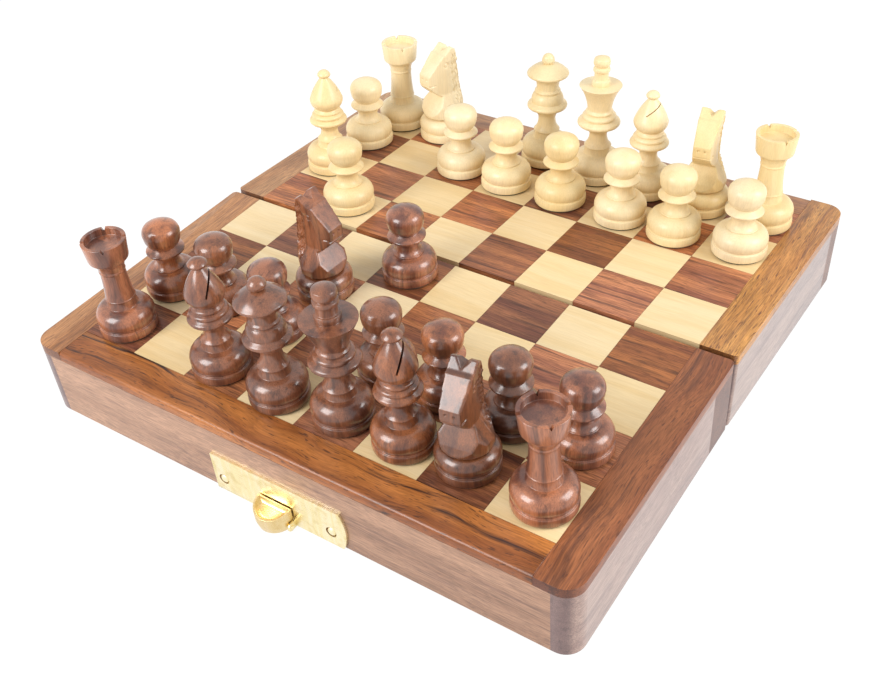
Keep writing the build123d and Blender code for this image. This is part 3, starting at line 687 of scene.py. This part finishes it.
queen_outline = [
    (4.5, 5.2, 1.8), (4.1, 2.4, -0.1), (4.2, 0.5, 0.2), (2.9, 3.2, -0.3), (3.3, 2.3, -0.2),
    (6.1, 2.3, -0.3), (6.2, 1.5, 0.5), (5.3, 0.6, 0), (4.5, 3.0, 0.35), (4.0, 0.3, 0),
    (4.1, 0.9, 0.25), (3.7, 0.3, 0), (3.9, 2.5, -0.1), (6.4, 2.2, -0.5), (6.5, 1.3, 0.45),
    (1.4, 2.7, 0.5)]
queen_finial = [(2.0, 1.6, 0.35)]
king_outline = [
    (4.5, 5.4, 1.8), (4.2, 2.2, -0.1), (4.3, 0.5, 0.2), (2.9, 3.1, -0.3), (3.3, 1.9, -0.2),
    (6.4, 2.1, -0.3), (6.5, 1.6, 0.5), (5.2, 0.6, 0), (5.1, 1.4, 0.4), (4.2, 0.4, 0),
    (4.2, 1.0, 0.3), (3.9, 0.5, 0)]
king_cup_rise = 8.0
king_cup_bow = {"dark": -0.15, "light": -0.6}
king_finial = [
    (2.7, 0, 0), (2.7, 2.0, 0.2), (2.25, 0.1, 0), (2.25, 2.3, 0), (2.6, 0.3, 0), (2.6, 1.1, 0.1),
    (2.0, 0.4, 0), (2.5, 0.5, 0), (2.4, 2.2, 0.25)]
knight_foot = [(5.4, 4.3, 1.5), (5.2, 1.1, 0)]


def arc_points(here, there, bulge):
    """Points along a run that bows outwards by bulge, without its first point."""
    if not bulge:
        return [there]
    (x0, z0), (x1, z1) = here, there
    chord = hypot(x1 - x0, z1 - z0)
    size = abs(bulge)
    radius = (chord**2 / 4 + size**2) / (2 * size)
    half = asin(min(1.0, chord / 2 / radius))
    along = ((x1 - x0) / chord, (z1 - z0) / chord)
    outward = (along[1], -along[0])
    points = []
    for step in range(1, arc_steps + 1):
        angle = -half + 2 * half * step / arc_steps
        run = radius * sin(angle)
        rise = (radius * cos(angle) - radius + size) * (1 if bulge > 0 else -1)
        points.append(((x0 + x1) / 2 + along[0] * run + outward[0] * rise,
                       (z0 + z1) / 2 + along[1] * run + outward[1] * rise))
    points[-1] = there
    return points


def worn(outline):
    """The same outline with its sharp corners a little rounded."""
    result = [outline[0]]
    for before, corner, after in zip(outline, outline[1:], outline[2:]):
        corner = Vector(corner)
        back, ahead = Vector(before) - corner, Vector(after) - corner
        if (-back).angle(ahead, 0) < radians(soft_corner):
            result.append(tuple(corner))
            continue
        size = min(worn_corner, worn_share * back.length, worn_share * ahead.length)
        start, end = corner + back.normalized() * size, corner + ahead.normalized() * size
        for share in (0, 0.33, 0.67, 1):
            point = start.lerp(corner, share).lerp(corner.lerp(end, share), share)
            result.append(tuple(point))
    return result + [outline[-1]]


def turned(start, steps, cap=0.0):
    """Spin an outline of (radius, rise, bulge) runs; the top is part of a ball, or flat."""
    outline = [(0.0, start)]
    height = start
    for radius, rise, bulge in steps:
        outline += arc_points(outline[-1], (radius, height + rise), bulge)
        height += rise
    if cap:
        radius = outline[-1][0]
        ball = (radius**2 + cap**2) / (2 * cap)
        low = asin((ball - cap) / ball)
        for step in range(1, cap_steps):
            angle = low + (pi / 2 - low) * step / cap_steps
            outline.append((ball * cos(angle), height + cap - ball + ball * sin(angle)))
        height += cap
    outline.append((0.0, height))
    bm = bmesh.new()
    verts = [bm.verts.new((x, 0, z)) for x, z in worn(outline)]
    edges = [bm.edges.new(pair) for pair in zip(verts, verts[1:])]
    bmesh.ops.spin(bm, geom=verts + edges, cent=(0, 0, 0), axis=(0, 0, 1), angle=2 * pi,
                   steps=turn_steps, use_merge=True, use_duplicate=False)
    bmesh.ops.remove_doubles(bm, verts=bm.verts, dist=0.0005)
    bmesh.ops.recalc_face_normals(bm, faces=bm.faces)
    return bm, height


def foot(radius):
    return [(radius, 0, 0), (radius, plinth, plinth_bow), (radius - groove, groove_lip, 0),
            (radius - groove, groove, 0), (radius - groove / 2, foot_lip, 0)]


def stretched(steps, run):
    """The same outline with its rises stretched to a run."""
    share = run / sum(rise for _, rise, _ in steps)
    return [(radius, rise * share, bulge) for radius, rise, bulge in steps]


def widened(steps, spread):
    return [(radius * spread, rise, bulge) for radius, rise, bulge in steps]


def above_foot(colour, kind):
    """Height of a piece above its foot and below its cap."""
    foot_top = pad_thick + plinth + groove_lip + groove + foot_lip
    return heights[colour][kind] - foot_top - caps.get(kind, 0)


def pawn(colour):
    steps = foot(pawn_foot_radius) + stretched(pawn_outline, above_foot(colour, "pawn"))
    return turned(pad_thick, steps, caps["pawn"])[0]


def rook(colour):
    """Tower with a hollow top and nicks in its rim."""
    steps = foot(foot_radius) + stretched(rook_outline, above_foot(colour, "rook"))
    inner = steps[-1][0] - crown_rim
    bm, floor = turned(pad_thick, steps + [(inner, 0, 0), (inner, -crown_depth, 0)])
    top = floor + crown_depth
    cup = loose(bm)
    for index in range(crenels):
        outline = [(-crenel_width, top + crenel_depth), (0, top - crenel_depth),
                   (crenel_width, top + crenel_depth)]
        nick = prism(outline, inner / 2, foot_radius)
        swing(nick, (index + 0.5) * 2 * pi / crenels, "Z")
        boolean(cup, loose(nick), "DIFFERENCE")
    return taken(cup)


def bishop(colour):
    """Mitre with a slanting slit that opens towards -X."""
    steps = stretched(bishop_outline + widened(bishop_finial, finial_spread[colour]),
                      above_foot(colour, "bishop"))
    bm, top = turned(pad_thick, foot(foot_radius) + steps, caps["bishop"])
    body = loose(bm)
    slit = bar((-foot_radius / 2, -foot_radius, -slit_width[colour] / 2),
               (foot_radius / 2, foot_radius, slit_width[colour] / 2))
    tilt = (Matrix.Translation((-slit_reach, 0, top - slit_fall[colour]))
            @ Matrix.Rotation(radians(slit_tilt[colour]), 4, "Y"))
    bmesh.ops.transform(slit, matrix=tilt, verts=slit.verts)
    boolean(body, loose(slit), "DIFFERENCE")
    return taken(body)


def queen(colour):
    steps = stretched(queen_outline + widened(queen_finial, finial_spread[colour]),
                      above_foot(colour, "queen"))
    return turned(pad_thick, foot(foot_radius) + steps, caps["queen"])[0]


def king(colour):
    finial = widened(king_finial, finial_spread[colour])
    cup = [(cup_radius[colour], king_cup_rise, king_cup_bow[colour])]
    steps = stretched(king_outline + cup + finial, above_foot(colour, "king"))
    return turned(pad_thick, foot(foot_radius) + steps, caps["king"])[0]


# ---- knights ------------------------------------------------------------------------------
knight_side = [             # (along Y, height above the foot); it looks along -Y
    (-6.9, -0.3), (-7.0, 0.3), (-6.3, 2.3), (-2.7, 7.8), (-4.5, 8.6), (-7.0, 10.9), (-8.0, 12.4),
    (-7.9, 16.1), (-2.0, 22.4), (-0.9, 22.6), (1.7, 25.0), (3.2, 24.0), (4.2, 20.5),
    (5.4, 14.0), (6.5, 8.0), (7.4, 3.2), (6.7, -0.3)]
knight_tall = 25.0
knight_front = [(6.7, -0.3), (6.9, 1.6), (3.5, 8.2), (3.3, 14.0), (3.6, 25.0)]
knight_chest = [(3.6, -7.4), (6.6, -2.6), (6.9, 1.6), (2.4, 7.4)]
knight_head = [(2.7, -8.2), (3.5, -1.5), (3.6, 4.2), (2.4, 7.4)]
knight_chin = 8.2
ear_spread = 6.0            # between the tips of the ears
ear_notch = 2.1             # how deep the gap between them is
waist_radius = 7.0
waist_rise = 4.6
waist_flare = 1.2
carving_grid = 0.26         # size of the small faces that the carving is cut into
mane_locks = 34             # locks in a full turn
mane_depth = 0.42
mane_centre = 0.8           # how far behind the mane line the locks fan out from
mane_low, mane_high = (2.4, 3.0), (1.0, 21.5)      # line in front of the mane: (along Y, height)
mane_top = (22.2, 23.4)     # the locks fade out between these heights
cheek_line, cheek_lean, cheek_height = 0.2, 0.08, 12.0
cheek_from, cheek_to = (2.0, 7.5), (18.5, 20.5)     # heights where the neck thins and thickens again
cheek_across = (1.5, 2.5)
jaw_step = 0.45             # the neck is thinner than the cheek
eye_place, eye_radius, eye_width, eye_depth = (-0.9, 18.9), 0.8, 0.3, 0.28
nostril_place, nostril_radius, nostril_depth = (1.1, 14.7), 0.45, 0.55   # (across, height)
mouth_height, mouth_reach, mouth_width, mouth_depth = 12.5, -5.0, 0.28, 0.32
mouth_slope, mouth_corner = 0.1, -7.0


def both_halves(half):
    """A full outline from its right half."""
    return half + [(-across, along) for across, along in reversed(half) if across]


def carving_block():
    """Side, front and plan outlines of a knight cut through one block."""
    reach = 2 * foot_radius
    block = loose(prism(knight_side, -reach, reach))
    front = prism(both_halves(knight_front), -reach, reach)
    swing(front, pi / 2, "Z")
    boolean(block, loose(front), "INTERSECT")
    tall = knight_tall + 1
    chest = slab(both_halves(knight_chest), knight_chin + 1)
    bmesh.ops.translate(chest, vec=(0, 0, -1), verts=chest.verts)
    head = slab(both_halves(knight_head), tall - knight_chin)
    bmesh.ops.translate(head, vec=(0, 0, knight_chin), verts=head.verts)
    plan = loose(chest)
    boolean(plan, loose(head), "UNION")
    boolean(block, plan, "INTERSECT")
    cone = [(waist_radius - waist_flare / waist_rise, 0, 0),
            (waist_radius + waist_flare, waist_rise + 1, 0), (reach, 0, 0), (reach, tall, 0)]
    boolean(block, loose(turned(-1, cone)[0]), "INTERSECT")
    gap = [(-ear_spread / 2, tall), (0, knight_tall - ear_notch), (ear_spread / 2, tall)]
    notch = prism(gap, -reach, reach)
    swing(notch, pi / 2, "Z")
    boolean(block, loose(notch), "DIFFERENCE")
    return block


def eased_step(value, low, high):
    """0 below low, 1 above high, and a smooth rise between."""
    share = max(0.0, min(1.0, (value - low) / (high - low)))
    return share * share * (3 - 2 * share)


def mane_cut(x, y, z):
    """Wavy locks behind a line that climbs the neck."""
    share = (z - mane_low[1]) / (mane_high[1] - mane_low[1])
    mane_line = mane_low[0] + (mane_high[0] - mane_low[0]) * share
    around = atan2(x, y - mane_line + mane_centre)
    wave = 0.045 * sin(1.6 * z + 5 * around) + 0.03 * sin(3.7 * z - 9 * around)
    lock = 0.5 + 0.5 * cos(mane_locks * (around + wave))
    tuft = 0.75 + 0.25 * sin(2.1 * z + 7 * around)
    return mane_depth * lock * tuft * eased_step(y - mane_line, 0, 0.5) * (1 - eased_step(z, *mane_top))


def cut_depth(x, y, z):
    """How deep the knife went at a place on the carving; z is above the foot."""
    behind_jaw = eased_step(y - cheek_line + cheek_lean * (z - cheek_height), 0, 0.35)
    neck = jaw_step * behind_jaw * eased_step(z, *cheek_from) * (1 - eased_step(z, *cheek_to))
    neck *= eased_step(abs(x), *cheek_across)
    from_eye = hypot(y - eye_place[0], z - eye_place[1])
    eye = eye_depth * max(0.0, 1 - abs(from_eye - eye_radius) / eye_width) if abs(x) > 1 else 0
    from_nostril = hypot(abs(x) - nostril_place[0], z - nostril_place[1])
    nostril = nostril_depth * (1 - eased_step(from_nostril, 0.1, nostril_radius)) if y < mouth_reach else 0
    from_mouth = abs(z - mouth_height - mouth_slope * (y - mouth_corner))
    mouth = mouth_depth * max(0.0, 1 - from_mouth / mouth_width)
    mouth *= 1 - eased_step(y, mouth_reach - 0.4, mouth_reach)
    return mane_cut(x, y, z) + neck + eye + nostril + mouth


def knight(colour):
    """Knife-carved head and chest on a turned foot."""
    bm, seat = turned(pad_thick, foot(foot_radius) + knight_foot)
    block = carving_block()
    grid = block.modifiers.new("grid", "REMESH")
    grid.mode = "VOXEL"
    grid.voxel_size = carving_grid
    graph = bpy.context.evaluated_depsgraph_get()
    block.data = bpy.data.meshes.new_from_object(block.evaluated_get(graph))
    block.modifiers.clear()
    carving = taken(block)
    bmesh.ops.smooth_vert(carving, verts=carving.verts, factor=0.5, use_axis_x=True, use_axis_y=True,
                          use_axis_z=True)
    carving.normal_update()
    cuts = [cut_depth(*vert.co) for vert in carving.verts]
    for vert, depth in zip(carving.verts, cuts):
        vert.co -= vert.normal * depth
    share = (heights[colour]["knight"] - seat) / knight_tall
    bmesh.ops.scale(carving, vec=(1, 1, share), verts=carving.verts)
    bmesh.ops.translate(carving, vec=(0, 0, seat), verts=carving.verts)
    mesh = bpy.data.meshes.new("carving")
    carving.to_mesh(mesh)
    carving.free()
    bm.from_mesh(mesh)
    bpy.data.meshes.remove(mesh)
    return bm


def felt_pad(radius):
    bm = bmesh.new()
    bmesh.ops.create_cone(bm, cap_ends=True, segments=48, radius1=radius - pad_inset,
                          radius2=radius - pad_inset, depth=pad_thick)
    bmesh.ops.translate(bm, vec=(0, 0, pad_thick / 2), verts=bm.verts)
    ease(bm, sharp_edges(bm), pad_ease, 2)
    return bm


# How far pieces are turned on their squares, in degrees.
turns = {
    "dark_knight_left": 85, "dark_knight_right": 8, "light_knight_left": -17,
    "light_knight_right": 8, "dark_bishop_left": -130, "dark_bishop_right": -141,
    "light_bishop_left": -55, "light_bishop_right": -156}
# Tone (0 dark, 1 pale) and tint (0 cool, 1 warm) of the pieces that differ most.
special_tones = {
    "dark_rook_right": (0.75, 0.35), "dark_pawn_8": (0.75, 0.3), "dark_bishop_right": (0.45, 1.0),
    "dark_rook_left": (0.8, 0.3), "dark_pawn_4": (0.85, 0.2),
    "dark_king": (0.3, 0.3), "dark_queen": (0.25, 0.1), "dark_knight_left": (0.5, 0.6),
    "light_knight_right": (0.0, 0.0), "light_rook_right": (0.0, 0.1), "light_pawn_8": (0.2, 0.9),
    "light_king": (0.7, 0.8)}
grain_jumps = (37.0, 11.0, 5.0)     # from one piece's place in the plank to the next one's
tone_jump, tint_jump = 0.37, 0.61


def mark_own(bm, seed, tone, tint):
    """Store where each point lies on its own piece, with the grain upright, and its tone."""
    place_layer = bm.verts.layers.float_vector.new("own_place")
    tone_layer = bm.verts.layers.float_vector.new("own_tone")
    for vert in bm.verts:
        x, y, z = vert.co
        vert[place_layer] = [at + seed * jump for at, jump in zip((z, x, y), grain_jumps)]
        vert[tone_layer] = (tone, tint, 0)


def piece_place(node):
    """From a piece's own frame to the shared frame, in millimetres."""
    joint = joints[f"lift_{node}"]
    base = Vector(joint["pos_m"]) / MM
    normal = Vector(joint["axis"])
    upright_turn = Vector((0, 0, 1)).rotation_difference(normal).to_matrix().to_4x4()
    turn = Matrix.Rotation(radians(turns.get(node, 0)), 4, "Z")
    return Matrix.Translation(base) @ upright_turn @ turn


def make_pieces():
    makers = {"pawn": pawn, "rook": rook, "bishop": bishop, "queen": queen, "king": king,
              "knight": knight}
    patterns = {(colour, kind): maker(colour) for colour in heights for kind, maker in makers.items()}
    lifts = [joint["name"] for joint in frame["joints"] if joint["name"].startswith("lift_")]
    names = [name[len("lift_"):] for name in lifts]
    woods_of = {"dark": dark_piece_wood, "light": light_piece_wood}
    for seed, node in enumerate(names):
        colour, kind = node.split("_")[:2]
        tone, tint = special_tones.get(node, ((seed * tone_jump) % 1, (seed * tint_jump) % 1))
        bm = patterns[colour, kind].copy()
        mark_own(bm, seed, tone, tint)
        radius = pawn_foot_radius if kind == "pawn" else foot_radius
        place = piece_place(node)
        body = new_piece(f"{node}_wood", bm, place, 35)
        dress(body, f"{node}_piece", [node], woods_of[colour])
        pad = new_piece(f"{node}_pad", felt_pad(radius), place)
        dress(pad, f"{node}_piece", [], pad_felt)


# ---- latch --------------------------------------------------------------------------------
plate_thick = 0.8
plate_length = 43.6
plate_height = 13.4
plate_end_bulge = 1.6
plate_lift = 0.3
nail_inset = 3.4
nail_height = 5.1
strike_length = 30.0
strike_height = 9.0
latch_pin_reach = 2.6
latch_pin_height = 1.7
latch_pin_radius = 0.6
tab_radius = 5.6
tab_wall = 0.7
tab_centre_reach = 1.6
tab_back_reach = 1.2
tab_bottom = 0.5
tab_height = 6.9
tab_fall = 1.3
tab_taper = 0.5
tab_shoulder = 2.7
tab_hollow = 2.4
dish_steps = ((0.5, 0.0), (0.4, 0.5), (0.5, 0.45), (0.6, 0.3))     # (inset, fall)
tab_ease = 0.22
lug_radius = 1.3
lug_thick = 0.55
lug_gap = 0.1
lug_ease = 0.1
pin_overhang = 1.0          # how far the pin reaches past the tab
nail_hole = 1.7
nail_head_radius = 1.3
nail_head_dome = 0.55
plate_ease = 0.18
catch_half = 1.5
catch_low, catch_high = 0.35, 0.95
catch_reach = 2.4
catch_ease = 0.2


def face_place(tray):
    """From the frame of an outer face (X right seen from outside, Y up, Z out) to the tray."""
    axes = Matrix(((-1, 0, 0), (0, 0, 1), (0, 1, 0))).to_4x4()
    return tray_places[tray] @ Matrix.Translation((0, outer_face, rim_gap)) @ axes


def plate_outline():
    half = plate_length / 2
    points = [(-half, plate_lift), (-half, plate_height), (half, plate_height)]
    rise = plate_height - plate_lift
    radius = (rise**2 / 4 + plate_end_bulge**2) / (2 * plate_end_bulge)
    span = asin(rise / 2 / radius)
    steps = 14
    for step in range(1, steps + 1):
        angle = span - 2 * span * step / steps
        points.append((half + plate_end_bulge - radius + radius * cos(angle),
                       (plate_height + plate_lift) / 2 + radius * sin(angle)))
    return points


def stamped_plate(outline):
    """Sheet brass with its outer edge rounded by the punch."""
    bm = slab(outline, plate_thick)
    rim = [edge for edge in sharp_edges(bm) if middle(edge).z > plate_thick * 0.9]
    ease(bm, rim, plate_ease, 2)
    return bm


def latch_plate():
    """Plate with a hole round each nail head."""
    plate = loose(stamped_plate(plate_outline()))
    for side in (-1, 1):
        hole = bmesh.new()
        bmesh.ops.create_cone(hole, cap_ends=True, segments=32, radius1=nail_hole, radius2=nail_hole,
                              depth=3 * plate_thick)
        from_middle = side * (plate_length / 2 - nail_inset)
        bmesh.ops.translate(hole, vec=(from_middle, nail_height, 0), verts=hole.verts)
        boolean(plate, loose(hole), "DIFFERENCE")
    return taken(plate)


def latch_pin():
    """Pin along the plate, with rounded ends."""
    radius, length = latch_pin_radius, 2 * (tab_radius + pin_overhang)
    bm = bmesh.new()
    bmesh.ops.create_cone(bm, cap_ends=True, segments=24, radius1=radius, radius2=radius, depth=length)
    swing(bm, pi / 2, "Y")
    ease(bm, sharp_edges(bm), radius * 0.35, 3)
    bmesh.ops.translate(bm, vec=(0, latch_pin_height, latch_pin_reach), verts=bm.verts)
    return bm


def nail_head():
    """Low dome that stands in the hole of the plate."""
    steps = [(nail_head_radius, 0, 0), (nail_head_radius, 0.1, 0)]
    return turned(plate_thick * 0.6, steps, nail_head_dome)[0]


def latch_lug(side):
    """Rounded ear beside the tab that holds the end of the pin."""
    steps = 10
    outline = [(latch_pin_height - lug_radius, 0)]
    outline += [(latch_pin_height - lug_radius * cos(pi * i / steps),
                 latch_pin_reach + lug_radius * sin(pi * i / steps)) for i in range(steps + 1)]
    outline += [(latch_pin_height + lug_radius, 0)]
    inner = side * (tab_radius + lug_gap)
    bm = prism(outline, inner, inner + side * lug_thick)
    bmesh.ops.recalc_face_normals(bm, faces=bm.faces)
    ease(bm, sharp_edges(bm), lug_ease, 2)
    return bm


def latch_tab():
    """Half-round cup with a sloping thumb dish; it is hollow below."""
    steps = 40
    lower = tab_radius - tab_taper
    back = tab_back_reach - tab_centre_reach
    plan = [(lower, back)]
    plan += [(lower * cos(pi * i / steps), lower * sin(pi * i / steps)) for i in range(steps + 1)]
    plan += [(-lower, back)]
    bm = bmesh.new()
    bottom = bm.faces.new([bm.verts.new((x, tab_bottom, z)) for x, z in plan])
    cap = bottom
    for height, radius in ((tab_shoulder, tab_radius), (tab_height, tab_radius)):
        grown = bmesh.ops.extrude_face_region(bm, geom=[cap])
        if cap is not bottom:
            bmesh.ops.delete(bm, geom=[cap], context="FACES_ONLY")
        cap = [g for g in grown["geom"] if isinstance(g, bmesh.types.BMFace)][0]
        share = radius / max(v.co.x for v in cap.verts)
        bmesh.ops.scale(bm, vec=(share, 1, share), verts=cap.verts)
        for vert in cap.verts:
            vert.co.y = height
    for vert in cap.verts:
        vert.co.y -= tab_fall * (vert.co.z - back) / (tab_radius - back)
    bmesh.ops.recalc_face_normals(bm, faces=bm.faces)
    for inset, fall in dish_steps:
        bmesh.ops.inset_region(bm, faces=[cap], thickness=inset, depth=0)
        bmesh.ops.translate(bm, vec=(0, -fall, 0), verts=cap.verts)
    under = min(bm.faces, key=lambda face: face.calc_center_median().y)
    bmesh.ops.inset_region(bm, faces=[under], thickness=tab_wall, depth=0)
    hollow = bmesh.ops.extrude_face_region(bm, geom=[under])
    raised = [g for g in hollow["geom"] if isinstance(g, bmesh.types.BMVert)]
    bmesh.ops.delete(bm, geom=[under], context="FACES_ONLY")
    bmesh.ops.translate(bm, vec=(0, tab_hollow, 0), verts=raised)
    bmesh.ops.recalc_face_normals(bm, faces=bm.faces)
    ease(bm, sharp_edges(bm, 38), tab_ease, 3)
    bmesh.ops.translate(bm, vec=(0, 0, tab_centre_reach), verts=bm.verts)
    return bm


def strike_plate():
    """Plate of the far tray, with round corners."""
    corner, steps = strike_height / 4, 6
    across, high, low = strike_length / 2 - corner, strike_height - corner, plate_lift + corner
    outline = []
    for cx, cy, turn in ((across, high, 0), (-across, high, 90), (-across, low, 180), (across, low, 270)):
        for step in range(steps + 1):
            angle = radians(turn + 90 * step / steps)
            outline.append((cx + corner * cos(angle), cy + corner * sin(angle)))
    return stamped_plate(outline)


def strike_catch():
    """Lip that the tab hooks over when the box is shut."""
    bm = bar((-catch_half, catch_low, plate_thick * 0.9), (catch_half, catch_high, catch_reach))
    ease(bm, [edge for edge in bm.edges if middle(edge).z > 1.0], catch_ease, 2)
    return bm


def make_latch():
    places = {"latch": face_place("front"), "strike": face_place("rear")}

    def add(name, bm, body, node, sharp_angle=32, metal=brass):
        side = "latch" if node.startswith("front") else "strike"
        dress(new_piece(name, bm, places[side], sharp_angle), body, [node], metal)

    add("latch_plate", latch_plate(), "front_tray", "front_latch_plate")
    add("latch_pin", latch_pin(), "front_tray", "front_latch_plate")
    for side, label in ((-1, "left"), (1, "right")):
        add(f"latch_lug_{label}", latch_lug(side), "front_tray", "front_latch_plate")
    add("latch_tab", latch_tab(), "latch_tab", "front_latch_tab", 60, brass_tab)
    for kind, tray, length in (("latch", "front", plate_length), ("strike", "rear", strike_length)):
        for side, label in ((-1, "left"), (1, "right")):
            bm = nail_head()
            from_middle = side * (length / 2 - nail_inset)
            bmesh.ops.translate(bm, vec=(from_middle, nail_height, 0), verts=bm.verts)
            add(f"{kind}_nail_{label}", bm, f"{tray}_tray", f"{tray}_{kind}_nails")
    add("strike_plate", strike_plate(), "rear_tray", "rear_strike_plate")
    add("strike_catch", strike_catch(), "rear_tray", "rear_strike_plate")


# ---- studio -------------------------------------------------------------------------------
camera_place = (158.2, -227.1, 223.6)
camera_turn = (50.835, 3.0, 33.683)   # degrees about X, Y and Z
camera_lens = 46.4
sensor_width = 36
sky_strength = 0.62
white_strength = 1.05
floor_glow = 0.88           # share of the floor that shows plain white
floor_size = 3000
table_color = rgb(0.92, 0.92, 0.92)
lamp_target = (0, 0, 20)
lamps = {                   # place, size and watts
    "left_window": ((-190, -440, 330), (280, 320), 2.8),
    "right_window": ((450, 100, 300), (260, 320), 2.1)}


def glow_white(n, shaded, share):
    """Show white to the camera and in reflections, and leave some of the shade."""
    path = n.add("ShaderNodeLightPath")
    seen = n.math("MAXIMUM", path.outputs["Is Camera Ray"], path.outputs["Is Glossy Ray"])
    seen = n.math("MAXIMUM", seen, path.outputs["Is Transmission Ray"])
    glow = n.add("ShaderNodeEmission")
    glow.inputs["Strength"].default_value = white_strength
    mix = n.add("ShaderNodeMixShader")
    n.join(n.math("MULTIPLY", seen, share), mix.inputs[0])
    n.join(shaded, mix.inputs[1])
    n.join(glow.outputs[0], mix.inputs[2])
    return mix.outputs[0]


def make_floor():
    bm = bmesh.new()
    bmesh.ops.create_grid(bm, x_segments=2, y_segments=2, size=floor_size)
    floor = new_piece("floor", bm, Matrix.Identity(4))
    material = bpy.data.materials.new("white_table")
    material.use_nodes = True
    n = Nodes(material.node_tree)
    n.tree.nodes.clear()
    output = n.add("ShaderNodeOutputMaterial")
    diffuse = n.add("ShaderNodeBsdfDiffuse")
    diffuse.inputs["Color"].default_value = table_color
    n.join(glow_white(n, diffuse.outputs[0], floor_glow), output.inputs["Surface"])
    floor.data.materials.append(material)


def make_world():
    world = bpy.data.worlds.new("studio")
    bpy.context.scene.world = world
    world.use_nodes = True
    n = Nodes(world.node_tree)
    n.tree.nodes.clear()
    path = n.add("ShaderNodeLightPath")
    seen = n.math("MAXIMUM", path.outputs["Is Camera Ray"], path.outputs["Is Glossy Ray"])
    soft = n.add("ShaderNodeBackground")
    soft.inputs["Color"].default_value = rgb(1, 1, 1)
    soft.inputs["Strength"].default_value = sky_strength
    white = n.add("ShaderNodeBackground")
    white.inputs["Strength"].default_value = 1.0
    white.inputs["Color"].default_value = rgb(1, 1, 1)
    mix = n.add("ShaderNodeMixShader")
    output = n.add("ShaderNodeOutputWorld")
    n.join(seen, mix.inputs[0])
    n.join(soft.outputs[0], mix.inputs[1])
    n.join(white.outputs[0], mix.inputs[2])
    n.join(mix.outputs[0], output.inputs["Surface"])


def area_lamp(name, place, size, watts):
    """Soft window light aimed at the board."""
    lamp = bpy.data.lights.new(name, "AREA")
    lamp.shape = "RECTANGLE"
    lamp.size, lamp.size_y = (s * MM for s in size)
    lamp.energy = watts
    item = bpy.data.objects.new(name, lamp)
    item.location = Vector(place) * MM
    aim = (Vector(lamp_target) - Vector(place)).normalized()
    item.rotation_euler = aim.to_track_quat("-Z", "Y").to_euler()
    bpy.context.scene.collection.objects.link(item)


def make_camera():
    data = bpy.data.cameras.new("camera")
    data.sensor_width = sensor_width
    data.lens = camera_lens
    data.clip_start, data.clip_end = 0.01, 20
    camera = bpy.data.objects.new("camera", data)
    camera.location = Vector(camera_place) * MM
    camera.rotation_euler = Euler([radians(turn) for turn in camera_turn])
    bpy.context.scene.collection.objects.link(camera)
    bpy.context.scene.camera = camera


def main():
    dress_cad_nodes()
    make_border()
    make_pieces()
    make_latch()
    make_floor()
    make_world()
    for name, (place, size, watts) in lamps.items():
        area_lamp(name, place, size, watts)
    make_camera()
    bpy.context.scene.view_settings.view_transform = "Standard"


main()
